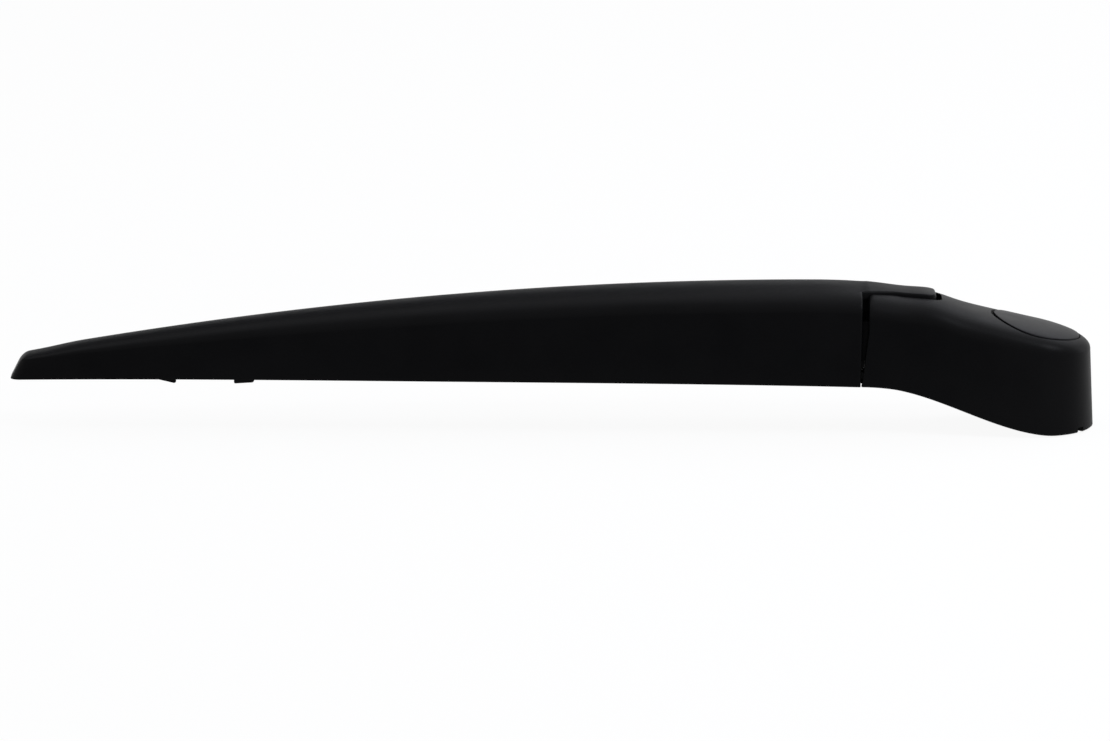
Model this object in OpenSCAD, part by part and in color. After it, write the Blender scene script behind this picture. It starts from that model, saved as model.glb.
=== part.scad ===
// Rear wiper arm: a moulded arm hinged on a moulded head, pressed to the glass by a coil spring.
// Millimetres. The origin is on the wiper spindle's axis, level with the lowest rim of the head.
// +Z is along the spindle, away from the car. The arm runs toward -X.

/* [Pivot head] */
// Radius of the round boss at its rim
head_r = 17.2; // [16.4:0.1:20]
// How far the wall leans in between rim and shoulder
head_draft = 1; // [0:0.1:1.4]
// Distance from the spindle axis to the front edge of the head
head_front = 50.7; // [46:0.1:60]
// Wall thickness of the head
head_wall = 2.4; // [1.8:0.1:3]
// Thickness of the head's top
head_roof = 2.4; // [1.8:0.1:3]
// Height of the top over the spindle axis
boss_top_z = 31.1; // [29:0.1:36]
// Depth of the shoulder under the top, over the spindle axis
shoulder_drop = 5.2; // [4:0.1:6]
// Depth of the shoulder under the top, at the rounded end
end_drop = 4.2; // [3:0.1:6]
// Fall of the top toward the boss end, in degrees
top_fall = 14.7; // [10:0.1:17]
// How far the rim climbs from the boss to the front
rim_rise = 14.9; // [11:0.1:17]
// Width of the drain notch in the rim
drain_w = 2; // [1:0.1:4]
// Height of the drain notch
drain_h = 1; // [0.5:0.1:2]

/* [Nut cap] */
// Radius of the cap
cap_r = 12.8; // [12:0.1:13]
// Mean gap between the cap and its opening
cap_gap = 0.6; // [0.4:0.05:0.8]
// How far the opening is set toward the arm, which leaves room to pry the cap off
cap_pry = 0.25; // [0:0.05:0.3]
// Thickness of the cap
cap_t = 2.2; // [1.6:0.1:2.8]
// Depth of the ring under the cap
cap_ring_h = 5; // [3:0.1:7]
// Thickness of the ring under the cap
cap_ring_t = 1.4; // [1:0.1:2]

/* [Spindle hub] */
// Radius of the bore that sits on the spindle
bore_r = 4.7; // [3.5:0.1:6]
// Outer radius of the metal hub
hub_r = 8; // [7.5:0.1:9]
// Height of the hub's underside
hub_z = 6; // [5.5:0.1:7]
// Height of the hub
hub_h = 9; // [8:0.1:10]
// Radius of the well that the nut and its socket go into
well_r = 11.2; // [11:0.1:11.4]

/* [Arm] */
// Distance from the spindle axis to the tip
arm_len = 307.5; // [280:0.5:340]
// Width of the arm at the hinge
arm_w = 28; // [26:0.1:30]
// Width of the arm at the tip
tip_w = 11.2; // [10:0.1:14]
// Where the arm starts to narrow, from the spindle axis
taper_from = 75; // [65:0.5:90]
// Wall thickness of the arm
arm_wall = 2.2; // [1.6:0.1:2.6]
// Height of the back where it is highest
back_top_z = 43.5; // [41:0.1:46]
// Distance from the spindle axis to the highest point of the back
back_apex = 70; // [60:0.5:90]
// How far the back has come down at the tip
back_drop = 21.9; // [18:0.1:23]
// Height of the crown above the shoulders at the hinge
crown_h = 7.3; // [5:0.1:8]
// Height of the arm's lower edge at mid length
sole_z = 15.8; // [14.5:0.1:17]
// How far the lower edge dips at both ends
sole_arch = 1.2; // [0:0.1:2]
// Lean of the tip's end face, in degrees
tip_lean = 27; // [10:0.5:32]
// Corner radius of the tip, seen from above
tip_corner_r = 3; // [1.5:0.1:4]
// Radius of the tip's upper edge
tip_edge_r = 1.8; // [0.8:0.1:2.5]
// Thickness of the ribs in the arm's channel
rib_t = 1.4; // [1:0.1:2]
// Spacing of the ribs
rib_pitch = 19; // [15:0.5:26]

/* [Tongue] */
// Half width of the tongue where it leaves the arm
tongue_root_half = 8; // [7:0.1:9]
// Half width of the tongue over the hinge
tongue_half = 5.6; // [5.4:0.1:6]
// Thickness of the tongue
tongue_t = 2.2; // [1.6:0.1:2.4]
// How far the tongue reaches past the hinge axis
tongue_reach = 7.7; // [6.5:0.1:8.5]
// Gap between the tongue and its slot
slot_gap = 0.55; // [0.4:0.05:0.55]
// Gap between the tongue's end and the end of the slot
slot_end_gap = 1.8; // [1.2:0.1:2.6]

/* [Hinge] */
// Gap between arm and head at the top
joint_gap = 1.8; // [1.5:0.1:2.4]
// Distance from the front of the head back to the hinge axis
pivot_back = 12.7; // [12.2:0.1:14]
// Depth of the hinge axis under the front of the head's top
pivot_depth = 7.6; // [7.2:0.1:8]
// Diameter of the hinge pin
hinge_pin_d = 5; // [4:0.1:5]
// Radial running clearance of the hinge pin in its bushes
pin_clear = 0.05; // [0.02:0.01:0.09]
// Wall thickness of the bushes
bush_t = 0.6; // [0.5:0.05:0.8]
// Thickness of the bush flanges
flange_t = 0.7; // [0.4:0.05:0.8]
// Radius of the knuckle
knuckle_r = 4.2; // [4:0.05:4.3]
// Half width of the knuckle without the flanges
knuckle_half = 5.2; // [4.6:0.1:5.3]
// Side clearance between a bush flange and its ear
ear_clear = 0.3; // [0.1:0.05:0.4]
// Thickness of the ears inside the head
ear_t = 2.2; // [1.6:0.1:2.6]
// Opening angle of the arm, in degrees
lift_angle = 60; // [45:1:62]
// How far the head's two side guides reach into the arm
guide_reach = 4.5; // [3:0.5:8]
// Thickness of the guides
guide_t = 1.6; // [1.2:0.1:2]
// Clearance between a guide and the arm's wall
guide_clear = 0.4; // [0.3:0.1:0.8]
// Gap between the arm's end and the two pads on the head that stop it
pad_gap = 0.15; // [0.1:0.05:0.3]

/* [Spring] */
// Distance from the hinge axis to the head's anchor pin
hook_arm = 10; // [9.6:0.1:10.6]
// Diameter of the two anchor pins
anchor_d = 4; // [3.4:0.1:4.2]
// Clearance of the hook round its pin
hook_clear = 0.3; // [0.2:0.05:0.35]
// Thickness of the hook's steel strap
hook_t = 1.6; // [1.2:0.1:1.7]
// Width of the strap
hook_w = 6; // [5:0.1:7]
// Length of the strap from the anchor pin to the spring's loop
hook_len = 16; // [13:0.5:20]
// Outer diameter of the spring
coil_d = 9; // [8:0.1:9.2]
// Diameter of the spring wire
wire_d = 1.6; // [1.2:0.1:1.8]
// Number of turns
coil_turns = 20; // [12:1:24]
// Length of the coiled stretch
coil_len = 44; // [36:0.5:54]

/* [Blade mount] */
// Distance from the tip to the blade pin
blade_pin_from_tip = 58.5; // [52:0.5:64]
// Height of the blade pin above the lower edge
blade_pin_up = 3.2; // [3:0.1:4.5]
// Diameter of the blade pin
blade_pin_d = 4; // [3:0.1:5]
// Free length between the two blade catches
catch_span = 17.4; // [15:0.1:20]
// Length of each catch
catch_len = 6; // [4:0.1:8]
// How far the catches stand below the lower edge
catch_h = 1.1; // [0.6:0.1:1.6]
// Thickness of the catches
catch_t = 1.7; // [1.2:0.1:2]

/* [Hidden] */
$fn = 64;
// Small overlap that makes joined shapes one solid, and cuts run past a face
lap = 1;
// Exponents of the crown: a soft roof over the arm, a flatter one over the boss
crown_n = 2.5;
boss_n = 3.5;
// Powers that shape how the arm narrows, and how much of its crown is gone at the tip
taper_power = 1.55;
crown_fade = 0.86;
// Height of the hollow's crown, as a share of the outer one
inner_crown = 0.8;
// Angle steps of the round outlines and of the crown
arc_step = 10;
crown_step = 15;
// Radius of the small edges round the open ends
small_r = 0.6;
// Radius of the head's front upper edge
front_edge_r = 1.5;
// Front of the head and end of the arm, on the X axis
front_x = -head_front;
root_x = front_x - joint_gap;
// How far the front of the head comes forward below the knee, and where the knee is
front_lean = 1.65;
knee_z = 31;
// How far the arm's end leans toward the tip at its lower corner
root_lean = 0.6;
// Lengths over which the leans of tip, arm end and head front die out
tip_lean_len = 22;
root_lean_len = 12;
front_lean_len = 8;
// How much lower the head lies than the arm where they meet, and how far the tongue stands proud
flush_step = 0.8;
tongue_rise = 0.3;
// Height of the head's rim at its front
rim_start = 7.2;
// Slope of the head's top where it meets the arm
front_slope = 0.1;
// Axes of the hinge and of the anchor pins
pivot_x = front_x + pivot_back;
pivot_z = head_crest(front_x) - pivot_depth;
anchor_x = pivot_x - hook_arm * sin(lift_angle / 2);
anchor_z = pivot_z - hook_arm * cos(lift_angle / 2);
// Drop of the anchor pin under its starting height halfway through the lift
anchor_sag = hook_arm * (1 - cos(lift_angle / 2));
eye_x = anchor_x - hook_len;
// Play of the spring's loops on their pins
loop_play = 0.15;
loop_r = anchor_d / 2 + wire_d / 2 + loop_play;
// The tongue narrows as far as this point, short of the hinge axis
tongue_bend = pivot_x - 5;
// Stretch between each end loop and the coil
lead = 4.5;
arm_anchor_x = eye_x - 2 * loop_r - 2 * lead - coil_len - loop_r;
// Inner faces of the ears that carry the hinge pin
ear_in = knuckle_half + flange_t + ear_clear;
// Depth that the hinge pin is let into the blind side, and its set-back from the open side
pin_blind = 1;
// Depth of the cap's ledge, and the play of the cap's ring in the well
ledge = cap_t + 0.3;
ring_play = 0.3;
// How far the metal hub stands above its moulded seat, and how deep the seat is
hub_stand = 1.5;
seat_h = hub_h - hub_stand - 2;
// Widening of the recess round the hub, for the spindle's grommet
recess_more = 3;
// Where the moulded floor starts, from the head's front
floor_from = 22;
// Heights of the guides and of the stop pads on the head's front
guide_low = rim_rise + 7.1;
guide_high = pivot_z - 1;
pad_low = rim_rise + 2;
pad_h = 1.9;
// Corner radius of the tongue's end, seen from above, and radius of its upper edge
tongue_corner_r = 3;
tongue_edge_r = 1;
// Half lengths of the pins that are let into the arm's walls
anchor_half = arm_half(arm_anchor_x) - 1.2;
blade_x = -arm_len + blade_pin_from_tip;
blade_half = arm_half(blade_x) - 0.9;
blade_z = arm_sole(blade_x) + blade_pin_up;
// Ribs start behind the spring bay and stop before the blade bay
ribs_from = arm_anchor_x - 12;
ribs_to = blade_x + catch_span / 2 + catch_len + 3;

// Blend that leaves 0 and reaches 1 with no kink
function smooth(t) = let (u = min(max(t, 0), 1)) u * u * (3 - 2 * u);
// Height of a crown at a share f of its half width, as a share of its full height
function crown(f, n) = pow(max(0, 1 - pow(min(abs(f), 1), n)), 1 / n);
// Depth that a quarter round of radius r takes off at distance d from its end
function round_off(d, r) = d >= r ? 0 : r - sqrt(r * r - (r - d) * (r - d));

// The arm, by its distance along X
function past_taper(x) = max(0, -x - taper_from) / (arm_len - taper_from);
function arm_half(x) = arm_w / 2 - (arm_w - tip_w) / 2 * pow(past_taper(x), taper_power);
function arm_crest(x) = back_top_z - back_drop * pow((x + back_apex) / (arm_len - back_apex), 2);
function arm_sole(x) = sole_z - sole_arch * pow(abs(2 * -x - arm_len - head_front) / (arm_len - head_front), 3);
function arm_crown(x) = crown_h * (1 - crown_fade * pow(past_taper(x), 3));

// The head: a straight neck that runs into a round boss
function head_crest(x) = x > 0 ? boss_top_z - tan(top_fall) * x
    : let (t = -x / head_front, z1 = arm_crest(root_x) - flush_step)
        (2 * t * t * t - 3 * t * t + 1) * boss_top_z + (t * t * t - 2 * t * t + t) * head_front * tan(top_fall)
        + (3 * t * t - 2 * t * t * t) * z1 - (t * t * t - t * t) * head_front * -front_slope;
function neck_share(x) = smooth(-x / (head_front - 6));
function head_half_low(x) = head_r + (arm_w / 2 + 0.1 - head_r) * neck_share(x);
function head_half_up(x) = head_r - head_draft + (arm_w / 2 - 0.1 - head_r + head_draft) * neck_share(x);
function head_rim(x) = rim_rise * smooth((rim_start - x) / (rim_start + head_front));
function neck_drop(x) = shoulder_drop + (crown_h - shoulder_drop) * min(1, -x / head_front);
function head_n(x) = boss_n - (boss_n - crown_n) * smooth(-x / (head_front - 10));

// One outline point of the head: its plan place on the rim and on the shoulder, and its crown
// Each is [x, y on the rim, x, y on the shoulder, depth of shoulder under crest, exponent, distance from front]
function neck_point(x, side, front, grow) = [x, side * (head_half_low(x) + grow),
    x, side * (head_half_up(x) + grow), neck_drop(x), head_n(x), x - front];
function boss_point(a, grow) = let (r0 = head_r + grow, r1 = head_r - head_draft + grow)
    [r0 * cos(a), r0 * sin(a), r1 * cos(a), r1 * sin(a),
        shoulder_drop + (end_drop - shoulder_drop) * pow(cos(a), 2), boss_n, head_front];
function neck_xs(front, steps) = concat([for (a = [0 : 30 : 60]) front + front_edge_r * (1 - cos(a))],
    [for (i = [0 : steps - 1]) front + front_edge_r + (-front - front_edge_r) * i / steps]);
function head_outline(front, grow, steps) = concat(
    [for (x = neck_xs(front, steps)) neck_point(x, -1, front, grow)],
    [for (a = [-90 : arc_step : 90]) boss_point(a, grow)],
    [for (i = [len(neck_xs(front, steps)) - 1 : -1 : 0]) neck_point(neck_xs(front, steps)[i], 1, front, grow)]);

// Height of the front face's lean at height z
function lean_at(z) = z > knee_z ? 0 : -front_lean * (knee_z - z) / (knee_z - rim_rise);
// A point of the head's wall at height share v between rim and shoulder
function wall_z(p, v, sink, low) = let (z0 = head_rim(p[0]) - low, z1 = head_crest(p[2]) - p[4] - sink)
    z0 + (z1 - z0) * v;
function wall_point(p, v, sink, low, leaning, edge) = let (z = wall_z(p, v, sink, low),
    near_front = leaning ? max(0, 1 - p[6] / front_lean_len) : 0,
    squeeze = edge ? round_off(p[6], small_r) : 0,
    x = p[0] + (p[2] - p[0]) * v, y = p[1] + (p[3] - p[1]) * v)
    [x + lean_at(z) * near_front, y - sign(y) * squeeze, z];
// A point of the head's crown at share f of its half width
function crown_point(p, f, sink, leaning, edge) = let (g = crown(f, p[5]),
    near_front = leaning ? max(0, 1 - p[6] / front_lean_len) : 0,
    squeeze = edge ? round_off(p[6], small_r) : 0,
    on_boss = p[0] > 0, x = on_boss ? p[2] * f : p[2], y = p[3] * f,
    z = head_crest(x) - p[4] * (1 - g) - sink - (edge ? g * round_off(p[6], front_edge_r) : 0))
    [x + lean_at(z) * near_front, y - sign(y) * squeeze * f, z];

// Closed skin over rings of equal length: a strip across the first ring and across the last
function ring_faces(rings, n) = concat(
    [for (k = [0 : rings - 2], i = [0 : n - 1]) let (a = k * n + i, b = k * n + (i + 1) % n) [a, a + n, b]],
    [for (k = [0 : rings - 2], i = [0 : n - 1]) let (a = k * n + i, b = k * n + (i + 1) % n) [b, a + n, b + n]],
    [for (i = [0 : (n - 3) / 2]) [i, i + 1, n - 1 - i]],
    [for (i = [0 : (n - 3) / 2]) if (i + 1 < n - 2 - i) [i + 1, n - 2 - i, n - 1 - i]],
    [for (i = [0 : (n - 3) / 2]) let (c = (rings - 1) * n) [c + i, c + n - 1 - i, c + i + 1]],
    [for (i = [0 : (n - 3) / 2]) let (c = (rings - 1) * n)
        if (i + 1 < n - 2 - i) [c + i + 1, c + n - 1 - i, c + n - 2 - i]]);

// Outer form of the head, sunk by sink at the top
module head_form(sink = 0, fine = true) {
    line = head_outline(front_x, 0, 7);
    turns = fine ? [for (a = [crown_step : crown_step : 84]) a] : [18, 36, 54, 72];
    rings = concat(
        [[for (p = line) wall_point(p, 0, sink, 0, true, true)]],
        [[for (p = line) wall_point(p, 0.62, sink, 0, true, true)]],
        [[for (p = line) wall_point(p, 1, sink, 0, true, true)]],
        [for (t = turns) [for (p = line) crown_point(p, pow(cos(t), 2 / p[5]), sink, true, true)]]);
    polyhedron(points = [for (r = rings, q = r) q], faces = ring_faces(len(rings), len(line)), convexity = 4);
}

// Hollow of the head: open below and at the front
module head_hollow() {
    front = front_x - 6;
    line = head_outline(front, -head_wall, 6);
    rings = concat(
        [[for (p = line) wall_point(p, 0, head_roof, 3, false, false)]],
        [[for (p = line) wall_point(p, 1, head_roof, 3, false, false)]],
        [for (t = [25, 50, 75])
            [for (p = line) crown_point(p, pow(cos(t), 2 / p[5]), head_roof, false, false)]]);
    polyhedron(points = [for (r = rings, q = r) q], faces = ring_faces(len(rings), len(line)), convexity = 4);
}

// A round bar along Y between two Y values
module bar_y(r, x, z, y0, y1) {
    translate([x, y0, z]) rotate([-90, 0, 0]) cylinder(r = r, h = y1 - y0);
}

// Plan outline of the tongue, grown by g, its far end grown by e
module tongue_plan(g, e, root) {
    half = tongue_half + g;
    end_x = pivot_x + tongue_reach + e;
    r = tongue_corner_r + g;
    polygon(concat([[root, -tongue_root_half - g], [tongue_bend, -half]],
        [for (a = [-90 : 15 : 0]) [end_x - r + r * cos(a), -half + r + r * sin(a)]],
        [for (a = [0 : 15 : 90]) [end_x - r + r * cos(a), half - r + r * sin(a)]],
        [[tongue_bend, half], [root, tongue_root_half + g]]));
}

// Ears, well wall and hub seat inside the head
module head_inside() {
    for (side = [-1, 1]) {
        y0 = side < 0 ? -ear_in - ear_t : ear_in;
        hull() {
            bar_y(knuckle_r, pivot_x, pivot_z, y0, y0 + ear_t);
            bar_y(anchor_d / 2 + 1.6, anchor_x, anchor_z, y0, y0 + ear_t);
            translate([-well_r - 3, y0, hub_z + hub_h]) cube([2, ear_t, pivot_z - hub_z - hub_h - 3]);
        }
        bar_y(knuckle_r, pivot_x, pivot_z, side < 0 ? -arm_w / 2 + head_wall - lap : ear_in,
            side < 0 ? -ear_in : arm_w / 2 - head_wall + lap);
    }
    cylinder(r = well_r + 2, h = 40);
    translate([0, 0, hub_z + hub_h - hub_stand - seat_h]) {
        cylinder(r = head_r - head_draft, h = seat_h);
        translate([front_x + floor_from, -ear_in - ear_t, 0])
            cube([head_front - floor_from, 2 * (ear_in + ear_t), seat_h]);
    }
}

// End of the arm at height z
function root_share(z) = (z - arm_sole(root_x)) / (arm_crest(root_x) - arm_sole(root_x));
function arm_end_x(z) = root_x - root_lean * (1 - root_share(z));

// Guides that keep the arm's walls in line with the head, and pads that its lower corners stop at
module head_front_guides() {
    outer = arm_w / 2 - arm_wall - guide_clear;
    root = 4;
    for (side = [0, 1]) mirror([0, side, 0]) {
        translate([front_x - guide_reach, outer - guide_t, guide_low])
            cube([guide_reach + root, guide_t, guide_high - guide_low]);
        translate([front_x + root / 2, outer - guide_t, guide_low])
            cube([root / 2, guide_t + guide_clear + arm_wall - lap, guide_high - guide_low]);
        translate([arm_end_x(pad_low) + pad_gap, arm_w / 2 - head_wall + small_r, pad_low])
            cube([front_x + lap - arm_end_x(pad_low), head_wall - 2 * small_r, pad_h]);
    }
}

module pivot_head() {
    color([0.09, 0.09, 0.1]) difference() {
        union() {
            head_form();
            head_front_guides();
        }
        difference() {
            head_hollow();
            head_inside();
            head_front_guides();
            // Ring that the cap rests on
            intersection() {
                cylinder(r = head_r, h = 40);
                translate([0, 0, hub_z + hub_h]) cube([60, 60, 50], center = true);
            }
        }
        // Opening for the cap, down to its ledge, and the well below it
        difference() {
            translate([-cap_pry, 0, hub_z + hub_h]) cylinder(r = cap_r + cap_gap, h = 40);
            head_form(ledge, false);
        }
        translate([0, 0, hub_z + hub_h - hub_stand]) cylinder(r = well_r, h = 40);
        // Recess round the spindle and seat of the metal hub
        translate([0, 0, -lap]) cylinder(r = hub_r + recess_more, h = hub_z + lap);
        translate([0, 0, hub_z]) cylinder(r = hub_r, h = 40);
        // Slot for the tongue
        translate([0, 0, pivot_z + 1]) linear_extrude(20) tongue_plan(slot_gap, slot_end_gap, root_x - 2);
        // Bores for the hinge pin, put in from the far side, and for the anchor pin
        bar_y(hinge_pin_d / 2, pivot_x, pivot_z, -ear_in - ear_t - pin_blind, arm_w);
        bar_y(anchor_d / 2, anchor_x, anchor_z, -ear_in - ear_t, ear_in + ear_t);
        // Drain notch in the near side of the rim
        rotate([0, 0, -41]) translate([head_r - head_wall - lap, -drain_w / 2, -lap])
            cube([head_wall + 2 * lap, drain_w, drain_h + lap]);
    }
}

module nut_cap() {
    ring_r = well_r - ring_play;
    ring_low = boss_top_z - 2 * cap_t - cap_ring_h;
    color([0.11, 0.11, 0.12]) {
        difference() {
            intersection() {
                head_form();
                cylinder(r = cap_r, h = 60);
            }
            head_form(cap_t, false);
        }
        difference() {
            translate([0, 0, ring_low]) cylinder(r = ring_r, h = 30);
            translate([0, 0, ring_low - lap]) cylinder(r = ring_r - cap_ring_t, h = 40);
            difference() {
                cylinder(r = 2 * cap_r, h = 60);
                head_form(cap_t - 0.4, false);
            }
        }
    }
}

module spindle_hub() {
    color([0.62, 0.63, 0.65]) translate([0, 0, hub_z]) difference() {
        cylinder(r = hub_r, h = hub_h);
        translate([0, 0, -lap]) cylinder(r = bore_r, h = hub_h + 2 * lap);
        translate([0, 0, -0.01]) cylinder(r1 = bore_r + 0.8, r2 = bore_r, h = 0.8);
    }
}

module hinge_pin() {
    color([0.7, 0.71, 0.73])
        bar_y(hinge_pin_d / 2, pivot_x, pivot_z, -ear_in - ear_t - pin_blind, arm_w / 2 - pin_blind);
}

module head_anchor_pin() {
    color([0.7, 0.71, 0.73]) bar_y(anchor_d / 2, anchor_x, anchor_z, -ear_in - ear_t, ear_in + ear_t);
}

// Cross section of the arm as [y, z] points, taken in by t, with its lower edge moved by low
function arm_section(x, d, t, low, tip, root) = let (
    end_cut = root ? round_off(root_x - x, small_r) : 0,
    a = arm_half(x) - t - (tip ? round_off(d, tip_corner_r) : 0) - end_cut,
    top = arm_crest(x) - t - (tip ? round_off(d, tip_edge_r) : 0) - end_cut,
    b = t > 0 ? inner_crown * arm_crown(x) : arm_crown(x),
    z1 = top - b,
    z0 = arm_sole(x) + low,
    c = t > 0 ? 0 : small_r)
    concat([[-a + c, z0], [-a, z0 + c]],
        [for (s = [180 : -crown_step : 0])
            [a * sign(cos(s)) * pow(abs(cos(s)), 2 / crown_n), z1 + b * pow(sin(s), 2 / crown_n)]],
        [[a, z0 + c], [a - c, z0]]);
// The same section set in space: it leans with the tip's end face and with the arm's end
function arm_ring(x, d, t, low, tip, root) = [for (q = arm_section(x, d, t, low, tip, root)) let (
    up = q[1] - arm_sole(x),
    tip_move = tan(tip_lean) * up * (1 - smooth(d / tip_lean_len)),
    root_move = root_lean * (1 - root_share(up + arm_sole(root_x))) * (1 - smooth((root_x - x) / root_lean_len)))
    [x + tip_move - root_move, q[0], q[1]]];
// Skin over open rings, with both ends closed
function tube_faces(rings, n) = concat(
    [for (k = [0 : rings - 2], i = [0 : n - 1]) let (a = k * n + i, b = k * n + (i + 1) % n) [a, b, a + n]],
    [for (k = [0 : rings - 2], i = [0 : n - 1]) let (a = k * n + i, b = k * n + (i + 1) % n) [b, b + n, a + n]],
    [[for (i = [n - 1 : -1 : 0]) i]], [[for (i = [0 : n - 1]) (rings - 1) * n + i]]);
module tube(rings) {
    faces = tube_faces(len(rings), len(rings[0]));
    polyhedron(points = [for (r = rings, q = r) q], faces = faces, convexity = 8);
}

module arm_form() {
    span = root_x - small_r + arm_len - tip_corner_r;
    xs = concat([for (a = [0 : 22.5 : 67.5]) -arm_len + tip_corner_r * (1 - cos(a))],
        [for (i = [0 : 18]) -arm_len + tip_corner_r + span * i / 18], [root_x - 0.2, root_x]);
    tube([for (x = xs) arm_ring(x, x + arm_len, 0, 0, true, true)]);
}

module arm_hollow() {
    from = -arm_len + arm_wall + 0.6;
    xs = concat([from], [for (i = [1 : 12]) from + (root_x - 6 - from) * i / 12], [root_x + 4]);
    tube([for (x = xs) arm_ring(x, x + arm_len, arm_wall, -3, false, false)]);
}

// Top of the tongue at [x, y]: the crown of the head, set proud, that starts flush with the arm
function tongue_z(x, y) = x < root_x ? arm_crest(x) - 1 - arm_crown(x) * (1 - crown(y / arm_half(x), crown_n))
    : head_crest(x) + flush_step + tongue_rise * smooth((x - root_x) / 20)
        - neck_drop(x) * (1 - crown(y / head_half_up(x), crown_n));
function tongue_w(x) = tongue_half - round_off(pivot_x + tongue_reach - x, tongue_corner_r)
    + (tongue_root_half - tongue_half) * min(1, max(0, tongue_bend - x) / (tongue_bend - root_x));
function tongue_ring(x) = let (w = tongue_w(x), edge = round_off(pivot_x + tongue_reach - x, tongue_edge_r))
    concat([for (j = [-4 : 4]) [x, w * j / 4, tongue_z(x, w * j / 4) - edge]],
        [for (j = [4 : -1 : -4]) [x, w * j / 4, tongue_z(x, w * j / 4) - tongue_t]]);

module tongue() {
    end_x = pivot_x + tongue_reach;
    straight = end_x - tongue_corner_r - root_x;
    xs = concat([root_x - 8, root_x - lap], [for (i = [0 : 8]) root_x + straight * i / 8],
        [for (a = [67.5 : -22.5 : 0]) end_x - tongue_corner_r * (1 - cos(a))]);
    tube([for (x = xs) tongue_ring(x)]);
}

// Block under the tongue that carries the knuckle
module neck() {
    low = pivot_z - knuckle_r + 0.4;
    roof = arm_crest(root_x) - arm_wall;
    translate([0, knuckle_half, 0]) rotate([90, 0, 0]) linear_extrude(2 * knuckle_half)
        polygon([[pivot_x, pivot_z], [pivot_x - 2, low], [root_x - 12, low], [root_x - 22, roof - 4],
            [root_x - 22, roof + 0.8], [pivot_x, tongue_z(pivot_x, knuckle_half) - 0.8]]);
    bar_y(knuckle_r, pivot_x, pivot_z, -knuckle_half, knuckle_half);
}

// A rib across the channel, from the roof down to a height above the lower edge
module cross_rib(x, above) {
    line = [for (q = arm_section(x, 99, arm_wall / 2, above, false, false)) q];
    translate([x - rib_t / 2, 0, 0]) rotate([90, 0, 90]) linear_extrude(rib_t) polygon(line);
}

// Seat that the spring's anchor pin is snapped into from below, one at each wall
module anchor_seats() {
    inner = arm_half(arm_anchor_x) - arm_wall;
    for (side = [-1, 1])
        translate([arm_anchor_x - 4.5, side < 0 ? -inner - 0.8 : inner - 3.2, anchor_z - 5])
            cube([9, 4, arm_crest(arm_anchor_x) - arm_crown(arm_anchor_x) - anchor_z + 5]);
}

// A blade catch on one wall: a wedge toward the tip, a block toward the hinge, facing each other
module blade_catch(side, toward_tip) {
    x0 = toward_tip ? blade_x - catch_span / 2 - catch_len : blade_x + catch_span / 2;
    x1 = x0 + catch_len;
    y = side * (arm_half(x0) - 0.25);
    z = arm_sole(x0);
    line = toward_tip ? [[x0, z + 0.2], [x0, z], [x1, z - catch_h], [x1, z + 1.5], [x0, z + 1.5]]
        : [[x0, z + 1.5], [x0, z - catch_h], [x1, z - catch_h + 0.4], [x1, z + 1.5]];
    translate([0, side < 0 ? y + catch_t : y, 0]) rotate([90, 0, 0]) linear_extrude(catch_t) polygon(line);
}

module arm_shell() {
    color([0.09, 0.09, 0.1]) difference() {
        union() {
            difference() {
                arm_form();
                arm_hollow();
            }
            tongue();
            neck();
            anchor_seats();
            for (x = [ribs_from : -rib_pitch : ribs_to]) cross_rib(x, 5);
            cross_rib(ribs_to, 4);
            cross_rib(blade_x - catch_span / 2 - catch_len - 3, 2);
            // Rib down the middle of the channel
            translate([0, rib_t / 2, 0]) rotate([90, 0, 0]) linear_extrude(rib_t)
                polygon([[ribs_to, arm_sole(ribs_to) + 6], [ribs_from, arm_sole(ribs_from) + 10],
                    [ribs_from, arm_crest(ribs_from) - 1.2], [(ribs_from + ribs_to) / 2,
                    arm_crest((ribs_from + ribs_to) / 2) - 1.2], [ribs_to, arm_crest(ribs_to) - 1.2]]);
            for (side = [-1, 1], toward_tip = [false, true]) blade_catch(side, toward_tip);
        }
        // Knuckle bore for the bushes
        bar_y(hinge_pin_d / 2 + pin_clear + bush_t, pivot_x, pivot_z, -arm_w, arm_w);
        // Bore and snap slot of the spring's anchor pin
        bar_y(anchor_d / 2, arm_anchor_x, anchor_z, -anchor_half, anchor_half);
        translate([arm_anchor_x - anchor_d / 2 + 0.3, 0.8 - anchor_half, anchor_z - 8])
            cube([anchor_d - 0.6, 2 * (anchor_half - 0.8), 8]);
        // Bore of the blade pin
        bar_y(blade_pin_d / 2, blade_x, blade_z, -blade_half, blade_half);
    }
}

// Flanged bush in the far end of the knuckle
module hinge_bush() {
    inner = hinge_pin_d / 2 + pin_clear;
    bush_split = 0.6;
    color([0.85, 0.84, 0.78]) difference() {
        union() {
            bar_y(inner + bush_t, pivot_x, pivot_z, bush_split / 2, knuckle_half);
            bar_y(knuckle_r, pivot_x, pivot_z, knuckle_half, knuckle_half + flange_t);
        }
        bar_y(inner, pivot_x, pivot_z, -arm_w, arm_w);
    }
}

module hinge_bush_near() {
    mirror([0, 1, 0]) hinge_bush();
}

module hinge_bush_far() {
    hinge_bush();
}

module arm_anchor_pin() {
    color([0.7, 0.71, 0.73])
        bar_y(anchor_d / 2, arm_anchor_x, anchor_z, -anchor_half, anchor_half);
}

module blade_pin() {
    color([0.7, 0.71, 0.73])
        bar_y(blade_pin_d / 2, blade_x, blade_z, -blade_half, blade_half);
}

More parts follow.
